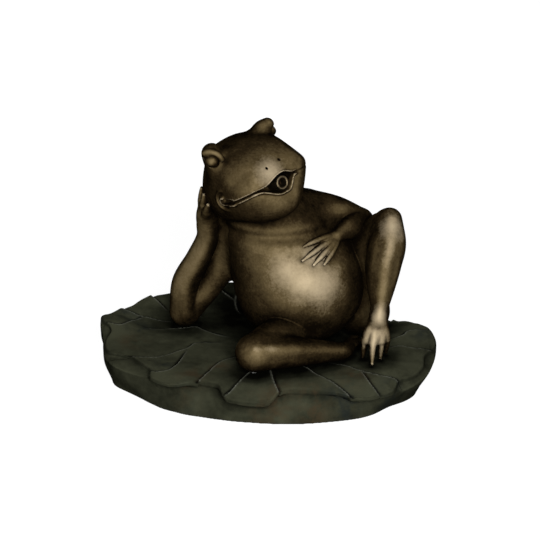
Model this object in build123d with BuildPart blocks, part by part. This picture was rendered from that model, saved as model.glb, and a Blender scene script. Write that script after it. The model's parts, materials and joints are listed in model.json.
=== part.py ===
"""Frog lounging on a lily pad: a cast garden figurine with a water spout in its mouth.

Millimetres, +Z up, +X to the viewer's right, +Y away from the viewer.
The origin is on the ground, under the middle of the lily pad.
"""

from build123d import *

import os
from math import atan2, copysign, cos, hypot, pi, sin

# Lily pad: one hollow casting, open below
pad_width = 334.0
pad_depth = 232.0
pad_seat_height = 36.0
pad_side_inset = 12.0
pad_shoulder_inset = 3.0
pad_shoulder_height = 20.0
pad_top_wall = 8.0
pad_side_wall = 16.0
pad_ledge = 8.0
pad_ground_gap = 0.8
rim_slope = 7.5
rim_left_lift = 8.5
rim_wave = 1.6
rim_wave_count = 7
rim_wave_turn = 0.9
rim_heading = -7.0
rim_start_share = 0.74
rim_lobe_share = 0.02
rim_round_share = 0.86
rim_outline_count = 36
rim_headroom = 22.0
top_grid_count = 34
overrun = 20.0

# Underside: closing plate, its screws and the sheet it rests on
plate_thickness = 3.0
plate_recess = 1.2
plate_clearance = 0.3
post_radius = 6.0
post_place_shares = ((-0.62, -0.42), (0.62, -0.42), (-0.62, 0.42), (0.62, 0.42))
screw_radius = 2.0
screw_head_radius = 4.0
screw_length = 14.0
screw_clearance = 0.1
screw_slot_width = 1.0
screw_slot_depth = 1.0
screw_sink_angle = 90
sheet_size_share = 0.56

# Torso: a hollow pear on a leaning axis, solid at the neck
belly_radius = 66.0
belly_place_shares = (0.185, 0.21)
belly_sink = 7.0
chest_radius = 48.0
chest_rise = 58.0
neck_radius = 36.0
neck_rise = 86.0
throat_radius = 30.0
throat_rise = 106.0
torso_lean_side = 27.0
torso_lean_front = 3.0
torso_wall = 5.0
torso_floor = 8.0
hollow_rise = 36.0
hollow_top_radius = 40.0
seat_gap = 0.2

# Head: a wide rounded wedge, its mouth plane through the head's middle
head_half_width = 49.0
head_half_length = 53.0
skull_height = 47.0
jaw_height = 31.0
head_wall = 6.0
head_yaw = 37.5
head_pitch = 15.0
head_roll = 14.5
head_place_shares = (-0.70, -0.38, 1.65)
mouth_slit = 1.6
mouth_depth = 3.5
mouth_corner_share = 0.14
mouth_half_width = 16.0
mouth_half_height = 8.5
mouth_pocket_depth = 8.0
nostril_radius = 1.4
nostril_depth = 4.0
nostril_place_shares = (0.17, -0.90, 0.43)

# Each head section: place along the head from its middle (front is positive), then its
# half width, its height above the mouth and its height below, as shares of the head's sizes
head_section_shares = (
    (-0.99, 0.17, 0.17, 0.17),
    (-0.90, 0.47, 0.46, 0.46),
    (-0.66, 0.78, 0.80, 0.78),
    (-0.30, 0.97, 0.98, 0.97),
    (0.06, 1.00, 1.00, 1.00),
    (0.40, 0.94, 0.88, 0.93),
    (0.70, 0.77, 0.69, 0.76),
    (0.90, 0.53, 0.49, 0.52),
    (0.99, 0.26, 0.25, 0.26),
)

# Eyes: a lid mound at each top corner of the skull with a ball set into it
eye_mound_radius = 12.5
eye_root_radius = 15.0
eye_place_shares = (0.66, -0.05, 0.90)
eye_root_shares = (0.50, 0.0, 0.50)
eye_ball_radius = 6.5
eye_ball_shift_shares = (0.46, -0.48, -0.26)
eye_clearance = 0.1

# Arms
propping_shoulder_shares = (-0.72, 0.12, -0.30)
propping_shoulder_radius = 18.0
propping_elbow_shares = (-1.72, 0.33)
propping_elbow_radius = 17.0
propping_elbow_sink = 2.0
propping_forearm_radius = 14.0
propping_forearm_share = 0.45
propping_wrist_shares = (-0.86, 0.90, -0.78)
propping_wrist_radius = 9.5
propping_palm_shares = (-0.70, 0.64, -0.24)
propping_palm_radius = 10.5
propping_finger_shares = (
    (-0.94, 0.26, 0.05),
    (-0.86, 0.42, 0.19),
    (-0.74, 0.60, 0.24),
    (-0.58, 0.78, 0.17),
)
propping_exit_share = 0.15
resting_shoulder_shares = (0.72, 0.30, 0.36)
resting_shoulder_radius = 21.0
resting_elbow_shares = (1.88, 0.23, 0.24)
resting_elbow_radius = 12.0
resting_forearm_radius = 11.5
resting_forearm_share = 0.5
resting_wrist_shares = (0.62, -0.34, 0.89)
resting_wrist_radius = 8.0
resting_knuckle_shares = (0.50, -0.70, 0.98)
resting_palm_radius = 7.5
resting_finger_shares = (
    (0.14, -0.92, 0.93),
    (0.10, -1.04, 0.72),
    (0.28, -1.03, 0.66),
    (0.46, -0.97, 0.65),
)
resting_exit_share = 0.31
finger_radius = 4.2
finger_tip_radius = 2.8
finger_sink = 1.2

# Legs
raised_hip_shares = (0.70, 0.22, -0.46)
raised_hip_radius = 27.0
raised_knee_shares = (1.30, -0.36, 1.00)
raised_knee_radius = 17.0
raised_calf_radius = 19.5
raised_calf_share = 0.28
raised_ankle_shares = (1.11, -0.87, -0.10)
raised_ankle_radius = 9.0
raised_foot_radius = 7.5
raised_toe_shares = ((0.93, -1.00), (1.07, -1.24), (1.21, -1.03), (1.29, -0.80))
raised_exit_share = 0.46
toe_radius = 4.8
toe_radius_share = 0.6
toe_tip_radius = 3.0
folded_hip_shares = (0.04, -0.42)
folded_hip_radius = 22.0
folded_knee_shares = (-0.68, -1.46)
folded_knee_radius = 20.5
folded_knee_sink = 1.5
folded_shin_radius = 18.0
folded_shin_share = 0.33
folded_ankle_shares = (0.60, -1.02)
folded_ankle_radius = 9.5
folded_toe_shares = ((0.86, -0.52), (0.95, -0.42), (0.90, -0.26))
folded_foot_radius = 8.0
folded_exit_share = 0.36
joint_ease_share = 0.94
fan_root_share = 0.12

# Pins that align the castings, each half in one piece and half in the other
pin_radius = 3.0
pin_clearance = 0.1
limb_pin_length = 24.0
elbow_pin_length = 22.0
knee_pin_length = 24.0
neck_pin_length = 20.0
neck_pin_offset = 17.0
neck_share = 0.76

# Bolts that hold the torso down on the pad
bolt_radius = 2.5
bolt_head_radius = 4.6
bolt_head_height = 3.5
bolt_reach = 12.0
bolt_spacing = 40.0
bolt_boss_radius = 7.0
bolt_boss_height = 9.0
bolt_clearance = 0.25
washer_radius = 7.0
washer_thickness = 1.2

# Water way: inlet spigot, gasket, lock nut, feed tube and mouth nozzle
tube_radius = 5.0
tube_wall = 1.0
tube_bend_radius = 17.0
tube_bend_setback = 10.0
tube_clearance = 0.05
tube_height = 17.0
port_radius = 9.0
nozzle_radius = 6.35
nozzle_bore_radius = 4.5
nozzle_length = 22.0
nozzle_recess = 3.0
nozzle_clearance = 0.1
nozzle_boss_wall = 3.5
socket_depth = 12.0
inlet_radius = 6.35
inlet_length = 18.0
inlet_flange_radius = 10.0
inlet_flange_thickness = 3.0
inlet_shank_radius = 7.5
inlet_tail = 14.0
inlet_clearance = 0.2
inlet_wall = 8.0
inlet_pocket_radius = 12.0
inlet_place_share = 0.80
gasket_thickness = 1.5
nut_corner_radius = 11.0
nut_thickness = 5.0
nut_room_radius = 13.0


def perpendicular(direction):
    """A unit vector square to a direction."""
    helper = Vector(0, 0, 1)
    if abs(direction.normalized().dot(helper)) > cos(pi / 6):
        helper = Vector(1, 0, 0)
    return direction.cross(helper).normalized()


def scaled(shares, *sizes):
    """A vector whose parts are shares of one size, or of three."""
    return Vector(*(share * size for share, size in zip(shares, sizes * (3 // len(sizes)))))


def rounded_bar(start, end, start_radius, end_radius, swell=()):
    """A round bar with ball ends. swell lists (share of the length, radius) on the way."""
    run = end - start
    middle = [(share * run.length, radius) for share, radius in swell]
    with BuildPart() as bar:
        with BuildSketch(Plane(start, x_dir=run, z_dir=perpendicular(run))):
            with BuildLine():
                first = CenterArc((0, 0), start_radius, 180, -90)
                last = CenterArc((run.length, 0), end_radius, 90, -90)
                Spline(first @ 1, *middle, last @ 0, tangents=((1, 0), (1, 0)))
                Line(last @ 1, first @ 0)
            make_face()
        revolve(axis=Axis(start, run))
    return bar.part


def fan(root, root_radius, tips, tip_radius, swell=()):
    """Fingers or toes: bars from one root to several tips."""
    return [
        rounded_bar(root + (tip - root) * fan_root_share, tip, root_radius, tip_radius, swell)
        for tip in tips
    ]


def rod(start, direction, radius, length):
    """A plain cylinder from a point along a direction."""
    with BuildPart() as cylinder:
        with BuildSketch(Plane(start, z_dir=direction)):
            Circle(radius)
        extrude(amount=length)
    return cylinder.part


def pin_along(start, end, share, length):
    """A pin on the line between two points, its middle at a share of the way."""
    heading = (end - start).normalized()
    return start + (end - start) * share - heading * (length / 2), heading, length


def pin_hole(pin):
    """The room that a pin needs."""
    start, heading, length = pin
    return rod(
        start - heading * pin_clearance,
        heading,
        pin_radius + pin_clearance,
        length + 2 * pin_clearance,
    )


def pad_outline(inset):
    """The lily pad's outline, a rounded oblong with shallow lobes, drawn in by an inset."""
    points = []
    for step in range(rim_outline_count):
        turn = 2 * pi * step / rim_outline_count
        lobe = 1 - rim_lobe_share * (1 - cos(rim_wave_count * turn + rim_wave_turn)) / 2
        across = copysign(abs(cos(turn)) ** rim_round_share, cos(turn))
        along = copysign(abs(sin(turn)) ** rim_round_share, sin(turn))
        point = Vector((pad_width / 2 - inset) * lobe * across, (pad_depth / 2 - inset) * lobe * along)
        points.append(point.rotate(Axis.Z, rim_heading))
    return points


def pad_face(height, inset):
    """A sketch of the pad's outline at a height."""
    with BuildSketch(Plane.XY.offset(height)) as outline:
        with BuildLine():
            Spline(*pad_outline(inset), periodic=True)
        make_face()
    return outline.sketch


def pad_top(x, y):
    """Height of the leaf's upper face: a flat seat with a wavy rim, low in front."""
    place = Vector(x, y).rotate(Axis.Z, -rim_heading)
    across = 2 * place.X / pad_width
    along = 2 * place.Y / pad_depth
    reach = hypot(across, along)
    turn = atan2(along, across)
    ease = min(max((reach - rim_start_share) / (1 - rim_start_share), 0), 1)
    ease = ease * ease * (3 - 2 * ease)
    lift = rim_slope * sin(turn) - rim_left_lift * cos(turn)
    lift += rim_wave * cos(rim_wave_count * turn + rim_wave_turn)
    return pad_seat_height + lift * ease


# Places that several pieces share
belly_centre = Vector(
    belly_place_shares[0] * pad_width / 2,
    belly_place_shares[1] * pad_depth / 2,
    pad_seat_height + belly_radius - belly_sink,
)
belly_place = (belly_centre.X, belly_centre.Y)
torso_axis = (
    Vector(0, 0, 1).rotate(Axis.Y, -torso_lean_side).rotate(Axis.X, torso_lean_front)
)
chest_centre = belly_centre + torso_axis * chest_rise
head_centre = belly_centre + scaled(head_place_shares, belly_radius)
head_turns = ((Axis.Y, -head_roll), (Axis.X, -head_pitch), (Axis.Z, head_yaw))
head_right = Vector(1, 0, 0)
head_up = Vector(0, 0, 1)
for turn_axis, turn_angle in head_turns:
    head_right = head_right.rotate(turn_axis, turn_angle)
    head_up = head_up.rotate(turn_axis, turn_angle)
head_plane = Plane(head_centre, x_dir=head_right, z_dir=head_up)
head_front = head_right.cross(head_up)
seat_plane = Plane.XY.offset(pad_seat_height + seat_gap)
floor_plane = seat_plane.offset(torso_floor)
plate_bottom = pad_ground_gap + plate_recess
plate_top = plate_bottom + plate_thickness
pad_ceiling = pad_seat_height - pad_top_wall
post_places = [
    (share_x * pad_width / 2, share_y * pad_depth / 2)
    for share_x, share_y in post_place_shares
]
bolt_places = [
    (belly_centre.X + side * bolt_spacing / 2, belly_centre.Y) for side in (-1, 1)
]


def on_head(shares, skin=0.0):
    """A point given by shares of the head's half width, half length and skull height."""
    sizes = (head_half_width + skin, head_half_length + skin, skull_height + skin)
    return head_plane.from_local_coords(scaled(shares, *sizes))


def beside_belly(shares, height):
    """A point over the pad, placed by shares of the belly's radius from its middle."""
    return Vector(
        belly_centre.X + shares[0] * belly_radius,
        belly_centre.Y + shares[1] * belly_radius,
        height,
    )


def head_body(inset):
    """The head without its eyes, drawn in on every side by an inset."""
    half_width = head_half_width - inset
    half_length = head_half_length - inset
    with BuildPart() as body:
        for along, width, above, below in head_section_shares:
            level = head_plane.from_local_coords(Vector(0, -along * half_length, 0))
            with BuildSketch(Plane(level, x_dir=head_right, z_dir=head_front)):
                with BuildLine():
                    upper = above * (skull_height - inset)
                    lower = below * (jaw_height - inset)
                    for start, height in ((0, upper), (180, lower)):
                        EllipticalCenterArc(
                            (0, 0), width * half_width, height, start, arc_size=180
                        )
                make_face()
        loft()
    return body.part


def torso_body(inset):
    """The filled torso, drawn in on every side by an inset."""
    with BuildPart() as body:
        plane = Plane(belly_centre, x_dir=torso_axis, z_dir=perpendicular(torso_axis))
        with BuildSketch(plane):
            with BuildLine():
                bottom = CenterArc((0, 0), belly_radius - inset, 180, -90)
                side = Spline(
                    bottom @ 1,
                    (chest_rise, chest_radius - inset),
                    (neck_rise, neck_radius - inset),
                    (throat_rise, throat_radius - inset),
                    tangents=((1, 0), (1, 0)),
                )
                Polyline(side @ 1, (throat_rise, 0), bottom @ 0)
            make_face()
        revolve(axis=Axis(belly_centre, torso_axis))
    return body.part


# Solid forms that the pieces are cut from or cut by
skull = head_body(0)
skull_room = head_body(-seat_gap)
torso_form = torso_body(0)
torso_room = torso_body(-seat_gap)
head_hollow = head_body(head_wall)
torso_hollow = rounded_bar(
    belly_centre,
    belly_centre + torso_axis * hollow_rise,
    belly_radius - torso_wall,
    hollow_top_radius,
)


def on_torso(shares, skin):
    """The place on the torso nearest to a point beside it, skin millimetres out."""
    spot = belly_centre + scaled(shares, belly_radius)
    foot = torso_form.distance_to_with_closest_points(spot)[1]
    return foot + (spot - foot).normalized() * skin


# Joints of the limbs
propping_shoulder = chest_centre + scaled(propping_shoulder_shares, chest_radius)
propping_elbow = beside_belly(
    propping_elbow_shares, pad_seat_height + propping_elbow_radius - propping_elbow_sink
)
propping_wrist = on_head(propping_wrist_shares)
propping_palm = on_head(propping_palm_shares, propping_palm_radius)
resting_shoulder = chest_centre + scaled(resting_shoulder_shares, chest_radius)
resting_elbow = chest_centre + scaled(resting_elbow_shares, chest_radius)
resting_wrist = belly_centre + scaled(resting_wrist_shares, belly_radius)
resting_knuckle = on_torso(resting_knuckle_shares, resting_palm_radius - finger_sink)
raised_hip = belly_centre + scaled(raised_hip_shares, belly_radius)
raised_knee = belly_centre + scaled(raised_knee_shares, belly_radius)
raised_ankle = belly_centre + scaled(raised_ankle_shares, belly_radius)
folded_hip = beside_belly(folded_hip_shares, pad_seat_height + folded_hip_radius)
folded_knee = beside_belly(
    folded_knee_shares, pad_seat_height + folded_knee_radius - folded_knee_sink
)
folded_ankle = beside_belly(folded_ankle_shares, pad_seat_height + folded_ankle_radius)

# Water way: from the inlet at the back, up through the torso and out of the mouth
backward = Vector(0, 1, 0)
inlet_face = inlet_place_share * pad_depth / 2
inlet_inner_face = inlet_face - inlet_wall
inlet_tail_end = inlet_inner_face - inlet_tail
flange_face = inlet_face + gasket_thickness
nozzle_tip = head_centre + head_front * (head_half_length - nozzle_recess)
nozzle_back = nozzle_tip - head_front * nozzle_length
tube_bend = head_centre - head_front * tube_bend_setback


def on_inlet(reach):
    """A point on the inlet's axis."""
    return Vector(belly_centre.X, reach, tube_height)


tube_points = [
    on_inlet(inlet_tail_end + socket_depth - seat_gap),
    on_inlet(belly_centre.Y),
    belly_centre,
    tube_bend,
    nozzle_back + head_front * (socket_depth - seat_gap),
]
tube_rise = tube_bend - belly_centre
tube_port = rod(belly_centre, tube_rise, port_radius, tube_rise.length)
nozzle_boss = rod(
    nozzle_back, head_front, nozzle_radius + nozzle_boss_wall, head_half_length
)

# Pins, each a start, a direction and a length
limb_pins = {
    "propping_arm_pin": (propping_shoulder, propping_elbow, propping_exit_share),
    "resting_arm_pin": (resting_shoulder, resting_elbow, resting_exit_share),
    "raised_leg_pin": (raised_hip, raised_knee, raised_exit_share),
    "folded_leg_pin": (folded_hip, folded_knee, folded_exit_share),
}
pins = {name: [pin_along(*place, limb_pin_length)] for name, place in limb_pins.items()}
for name, joint, length in (
    ("elbow_pin", propping_elbow, elbow_pin_length),
    ("knee_pin", folded_knee, knee_pin_length),
):
    pins[name] = [(Vector(joint.X, joint.Y, pad_ceiling), Vector(0, 0, 1), length)]
neck_side = perpendicular(tube_rise) * neck_pin_offset
pins["neck_pins"] = [
    pin_along(belly_centre + shift, tube_bend + shift, neck_share, neck_pin_length)
    for shift in (neck_side, neck_side * -1)
]
pin_holes = {name: [pin_hole(pin) for pin in group] for name, group in pins.items()}


# Lily pad
inlet_cuts = [
    rod(on_inlet(inlet_face), backward, inlet_pocket_radius, pad_depth / 2),
    rod(on_inlet(inlet_inner_face), backward * -1, nut_room_radius, inlet_tail),
    rod(on_inlet(inlet_inner_face), backward, inlet_shank_radius + inlet_clearance, inlet_wall),
]
with BuildPart() as lily_pad:
    add(pad_face(pad_ground_gap, pad_side_inset))
    add(pad_face(pad_shoulder_height, pad_shoulder_inset))
    add(pad_face(pad_seat_height + rim_headroom, 0))
    loft()
    grid = []
    for row in range(top_grid_count + 1):
        y = (row / top_grid_count - 1 / 2) * (pad_depth + 2 * overrun)
        grid.append([])
        for column in range(top_grid_count + 1):
            x = (column / top_grid_count - 1 / 2) * (pad_width + 2 * overrun)
            grid[-1].append(Vector(x, y, pad_top(x, y)))
    leaf_face = Face.make_surface_from_array_of_points(grid)
    extrude(leaf_face, amount=rim_headroom + 2 * overrun, dir=(0, 0, 1), mode=Mode.SUBTRACT)
    # Hollow underside, with a ledge for the closing plate and posts for its screws
    add(pad_face(pad_ground_gap, pad_side_inset + pad_side_wall))
    extrude(amount=pad_ceiling - pad_ground_gap, mode=Mode.SUBTRACT)
    add(pad_face(pad_ground_gap, pad_side_inset + pad_ledge))
    extrude(amount=plate_top - pad_ground_gap, mode=Mode.SUBTRACT)
    with BuildSketch(Plane.XY.offset(plate_top)):
        with Locations(*post_places):
            Circle(post_radius)
    extrude(amount=pad_ceiling - plate_top)
    with BuildSketch(Plane.XY.offset(plate_top)):
        with Locations(*post_places):
            Circle(screw_radius + screw_clearance)
    extrude(amount=screw_length, mode=Mode.SUBTRACT)
    # Ways through the leaf for the bolts, the tube and the pins, and the inlet's seat
    with BuildSketch(Plane.XY.offset(pad_ceiling)):
        with Locations(*bolt_places):
            Circle(bolt_radius + bolt_clearance)
        with Locations(belly_place):
            Circle(port_radius)
    extrude(amount=pad_top_wall + overrun, mode=Mode.SUBTRACT)
    add(pin_holes["elbow_pin"] + pin_holes["knee_pin"] + inlet_cuts, mode=Mode.SUBTRACT)
lily_pad.part.label = "lily_pad"

# Bottom plate
with BuildPart() as bottom_plate:
    add(pad_face(plate_bottom, pad_side_inset + pad_ledge + plate_clearance))
    extrude(amount=plate_thickness)
    with Locations(*[Plane((x, y, plate_bottom), z_dir=(0, 0, -1)) for x, y in post_places]):
        CounterSinkHole(
            screw_radius + screw_clearance,
            screw_head_radius + screw_clearance,
            counter_sink_angle=screw_sink_angle,
        )
bottom_plate.part.label = "bottom_plate"

# Screws of the bottom plate
upright = (Align.CENTER, Align.CENTER, Align.MIN)
with BuildPart() as plate_screws:
    with Locations(*[(x, y, plate_bottom) for x, y in post_places]):
        Cylinder(screw_radius, screw_length, align=upright)
        Cone(screw_head_radius, screw_radius, screw_head_radius - screw_radius, align=upright)
        Box(
            2 * screw_head_radius,
            screw_slot_width,
            screw_slot_depth,
            align=upright,
            mode=Mode.SUBTRACT,
        )
plate_screws.part.label = "plate_screws"

# Sheet under the plate, the face that the figurine rests on
with BuildPart() as underside_sheet:
    with BuildSketch():
        Ellipse(sheet_size_share * pad_width / 2, sheet_size_share * pad_depth / 2)
    extrude(amount=plate_bottom)
underside_sheet.part.label = "underside_sheet"

# Torso
with BuildPart() as torso_room_inside:
    add(torso_hollow)
    split(bisect_by=floor_plane, keep=Keep.TOP)
    with BuildSketch(floor_plane):
        with Locations(*bolt_places):
            Circle(bolt_boss_radius)
    extrude(amount=bolt_boss_height, mode=Mode.SUBTRACT)
with BuildPart() as torso:
    add(torso_form)
    add(torso_room_inside.part, mode=Mode.SUBTRACT)
    split(bisect_by=seat_plane, keep=Keep.TOP)
    add([skull_room, tube_port], mode=Mode.SUBTRACT)
    with BuildSketch(seat_plane):
        with Locations(*bolt_places):
            Circle(bolt_radius + bolt_clearance)
    extrude(amount=bolt_reach + bolt_clearance, mode=Mode.SUBTRACT)
    with BuildSketch(seat_plane):
        with Locations(belly_place):
            Circle(port_radius)
    extrude(amount=torso_floor, mode=Mode.SUBTRACT)
    for name in (*limb_pins, "neck_pins"):
        add(pin_holes[name], mode=Mode.SUBTRACT)
torso.part.label = "torso"

# Head
eye_sides = {"right_eye": -1, "left_eye": 1}
eye_places = {}
eye_mounds = []
nostrils = []
for name, side in eye_sides.items():
    root = on_head((side * eye_root_shares[0], *eye_root_shares[1:]))
    crown = on_head((side * eye_place_shares[0], *eye_place_shares[1:]))
    eye_mounds.append(rounded_bar(root, crown, eye_root_radius, eye_mound_radius))
    shift = scaled((side * eye_ball_shift_shares[0], *eye_ball_shift_shares[1:]), eye_mound_radius)
    ball = crown + head_plane.from_local_coords(shift) - head_centre
    eye_places[name] = Plane(ball, x_dir=head_right, z_dir=head_up)
    nostril = on_head((side * nostril_place_shares[0], *nostril_place_shares[1:]))
    nostrils.append(
        rod(
            nostril + head_front * nostril_depth,
            head_front * -1,
            nostril_radius,
            2 * nostril_depth,
        )
    )
nozzle_bore = rod(nozzle_back, head_front, nozzle_radius + nozzle_clearance, head_half_length)
with BuildPart() as mouth_line:
    with BuildSketch(head_plane):
        with Locations((0, -mouth_corner_share * head_half_length)):
            Rectangle(
                2 * head_half_width + overrun,
                head_half_length + overrun,
                align=(Align.CENTER, Align.MAX),
            )
    extrude(amount=mouth_slit / 2, both=True)
    add(head_body(mouth_depth), mode=Mode.SUBTRACT)
with BuildPart() as mouth_pocket:
    pocket_floor = head_centre + head_front * (head_half_length - mouth_pocket_depth)
    with BuildSketch(Plane(pocket_floor, x_dir=head_right, z_dir=head_front)):
        Ellipse(mouth_half_width, mouth_half_height)
    extrude(amount=mouth_pocket_depth + overrun)
with BuildPart() as skull_hollow:
    add(head_hollow)
    add(nozzle_boss, mode=Mode.SUBTRACT)
with BuildPart() as head:
    add(skull)
    add(eye_mounds)
    add(skull_hollow.part, mode=Mode.SUBTRACT)
    add([mouth_line.part, mouth_pocket.part, nozzle_bore, tube_port], mode=Mode.SUBTRACT)
    add(nostrils + pin_holes["neck_pins"], mode=Mode.SUBTRACT)
    for place in eye_places.values():
        with Locations(place):
            Sphere(eye_ball_radius + eye_clearance, mode=Mode.SUBTRACT)
head.part.label = "head"

# Eyes
eyes = []
for name, place in eye_places.items():
    with BuildPart() as eye:
        with Locations(place):
            Sphere(eye_ball_radius)
    eye.part.label = name
    eyes.append(eye)

# Propping arm
propping_bars = [
    rounded_bar(
        propping_shoulder,
        propping_elbow,
        propping_shoulder_radius,
        propping_elbow_radius * joint_ease_share,
    ),
    rounded_bar(
        propping_elbow,
        propping_wrist,
        propping_elbow_radius,
        propping_wrist_radius,
        ((propping_forearm_share, propping_forearm_radius),),
    ),
    rounded_bar(
        propping_wrist,
        propping_palm,
        propping_wrist_radius * joint_ease_share,
        propping_palm_radius,
    ),
    *fan(
        propping_palm,
        finger_radius,
        [on_head(shares, finger_tip_radius) for shares in propping_finger_shares],
        finger_tip_radius,
    ),
]
with BuildPart() as propping_arm:
    add(propping_bars)
    split(bisect_by=seat_plane, keep=Keep.TOP)
    add([torso_room, skull_room], mode=Mode.SUBTRACT)
    add(pin_holes["propping_arm_pin"] + pin_holes["elbow_pin"], mode=Mode.SUBTRACT)
propping_arm.part.label = "propping_arm"

# Resting arm
resting_bars = [
    rounded_bar(
        resting_shoulder,
        resting_elbow,
        resting_shoulder_radius,
        resting_elbow_radius * joint_ease_share,
    ),
    rounded_bar(
        resting_elbow,
        resting_wrist,
        resting_elbow_radius,
        resting_wrist_radius,
        ((resting_forearm_share, resting_forearm_radius),),
    ),
    rounded_bar(
        resting_wrist,
        resting_knuckle,
        resting_wrist_radius * joint_ease_share,
        resting_palm_radius,
    ),
    *fan(
        resting_knuckle,
        finger_radius,
        [on_torso(shares, finger_tip_radius - finger_sink) for shares in resting_finger_shares],
        finger_tip_radius,
    ),
]
with BuildPart() as resting_arm:
    add(resting_bars)
    add([torso_room, skull_room], mode=Mode.SUBTRACT)
    add(pin_holes["resting_arm_pin"], mode=Mode.SUBTRACT)
resting_arm.part.label = "resting_arm"

# Raised leg
raised_bars = [
    rounded_bar(
        raised_hip,
        raised_knee,
        raised_hip_radius,
        raised_knee_radius * joint_ease_share,
    ),
    rounded_bar(
        raised_knee,
        raised_ankle,
        raised_knee_radius,
        raised_ankle_radius,
        ((raised_calf_share, raised_calf_radius),),
    ),
    *fan(
        raised_ankle,
        raised_foot_radius,
        [beside_belly(shares, pad_seat_height + toe_tip_radius) for shares in raised_toe_shares],
        toe_tip_radius,
        ((toe_radius_share, toe_radius),),
    ),
]
with BuildPart() as raised_leg:
    add(raised_bars)
    split(bisect_by=seat_plane, keep=Keep.TOP)
    add(torso_room, mode=Mode.SUBTRACT)
    add(pin_holes["raised_leg_pin"], mode=Mode.SUBTRACT)
raised_leg.part.label = "raised_leg"

# Folded leg
folded_bars = [
    rounded_bar(
        folded_hip,
        folded_knee,
        folded_hip_radius,
        folded_knee_radius * joint_ease_share,
    ),
    rounded_bar(
        folded_knee,
        folded_ankle,
        folded_knee_radius,
        folded_ankle_radius,
        ((folded_shin_share, folded_shin_radius),),
    ),
    *fan(
        folded_ankle,
        folded_foot_radius,
        [beside_belly(shares, pad_seat_height + toe_tip_radius) for shares in folded_toe_shares],
        toe_tip_radius,
    ),
]
with BuildPart() as folded_leg:
    add(folded_bars)
    split(bisect_by=seat_plane, keep=Keep.TOP)
    add(torso_room, mode=Mode.SUBTRACT)
    add(pin_holes["folded_leg_pin"] + pin_holes["knee_pin"], mode=Mode.SUBTRACT)
folded_leg.part.label = "folded_leg"

# Alignment pins
pin_pieces = []
for name, group in pins.items():
    cores = [rod(start, heading, pin_radius, length) for start, heading, length in group]
    with BuildPart() as pin_piece:
        add(cores)
    pin_piece.part.label = name
    pin_pieces.append(pin_piece)

# Bolts and washers that hold the torso down
bolt_seat = pad_ceiling - washer_thickness
with BuildPart() as seat_bolts:
    with BuildSketch(Plane.XY.offset(bolt_seat - bolt_head_height)):
        with Locations(*bolt_places):
            RegularPolygon(bolt_head_radius, 6)
    extrude(amount=bolt_head_height)
    with BuildSketch(Plane.XY.offset(bolt_seat)):
        with Locations(*bolt_places):
            Circle(bolt_radius)
    extrude(amount=washer_thickness + pad_top_wall + bolt_reach)
seat_bolts.part.label = "seat_bolts"

with BuildPart() as seat_washers:
    with BuildSketch(Plane.XY.offset(bolt_seat)):
        with Locations(*bolt_places):
            Circle(washer_radius)
            Circle(bolt_radius + bolt_clearance, mode=Mode.SUBTRACT)
    extrude(amount=washer_thickness)
seat_washers.part.label = "seat_washers"

# Inlet fitting, its gasket and its lock nut
spigot_start = flange_face + inlet_flange_thickness
spigot_end = spigot_start + inlet_length
inlet_solids = [
    rod(on_inlet(inlet_tail_end), backward, inlet_shank_radius, flange_face - inlet_tail_end),
    rod(on_inlet(flange_face), backward, inlet_flange_radius, inlet_flange_thickness),
    rod(on_inlet(spigot_start), backward, inlet_radius, inlet_length),
]
inlet_holes = [
    rod(on_inlet(inlet_tail_end), backward, nozzle_bore_radius, spigot_end - inlet_tail_end),
    rod(on_inlet(inlet_tail_end), backward, tube_radius + tube_clearance, socket_depth),
]
with BuildPart() as inlet_fitting:
    add(inlet_solids)
    add(inlet_holes, mode=Mode.SUBTRACT)
inlet_fitting.part.label = "inlet_fitting"

inlet_plane = Plane(on_inlet(inlet_face), z_dir=backward)
with BuildPart() as inlet_gasket:
    with BuildSketch(inlet_plane):
        Circle(inlet_flange_radius)
        Circle(inlet_shank_radius + inlet_clearance, mode=Mode.SUBTRACT)
    extrude(amount=gasket_thickness)
inlet_gasket.part.label = "inlet_gasket"

with BuildPart() as inlet_nut:
    with BuildSketch(inlet_plane.offset(-inlet_wall)):
        RegularPolygon(nut_corner_radius, 6)
        Circle(inlet_shank_radius + inlet_clearance, mode=Mode.SUBTRACT)
    extrude(amount=-nut_thickness)
inlet_nut.part.label = "inlet_nut"

# Feed tube
with BuildPart() as feed_tube:
    with BuildLine():
        FilletPolyline(*tube_points, radius=tube_bend_radius)
    with BuildSketch(Plane(tube_points[0], z_dir=backward * -1)):
        Circle(tube_radius)
        Circle(tube_radius - tube_wall, mode=Mode.SUBTRACT)
    sweep()
feed_tube.part.label = "feed_tube"

# Mouth nozzle
nozzle_solid = rod(nozzle_back, head_front, nozzle_radius, nozzle_length)
nozzle_holes = [
    rod(nozzle_back, head_front, nozzle_bore_radius, nozzle_length),
    rod(nozzle_back, head_front, tube_radius + tube_clearance, socket_depth),
]
with BuildPart() as mouth_nozzle:
    add(nozzle_solid)
    add(nozzle_holes, mode=Mode.SUBTRACT)
mouth_nozzle.part.label = "mouth_nozzle"

os.makedirs("parts", exist_ok=True)
castings = [lily_pad, torso, head, propping_arm, resting_arm, raised_leg, folded_leg]
fixings = [bottom_plate, plate_screws, underside_sheet, *pin_pieces, seat_bolts, seat_washers]
water_way = [inlet_fitting, inlet_gasket, inlet_nut, feed_tube, mouth_nozzle]
for piece in (*castings, *eyes, *fixings, *water_way):
    export_step(piece.part, f"parts/{piece.part.label}.step")
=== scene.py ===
"""Looks of a pond spitter: a bronze frog that lounges on a lily pad, chin in hand.

The figure is modelled in millimetres as smooth distance fields, placed by the CAD nodes'
boxes. Each CAD casting gets one closed skin from its field, so the castings stay separate
pieces while their joins look like one cast surface.
"""

import json
import math
from concurrent.futures import ThreadPoolExecutor
from functools import partial

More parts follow.
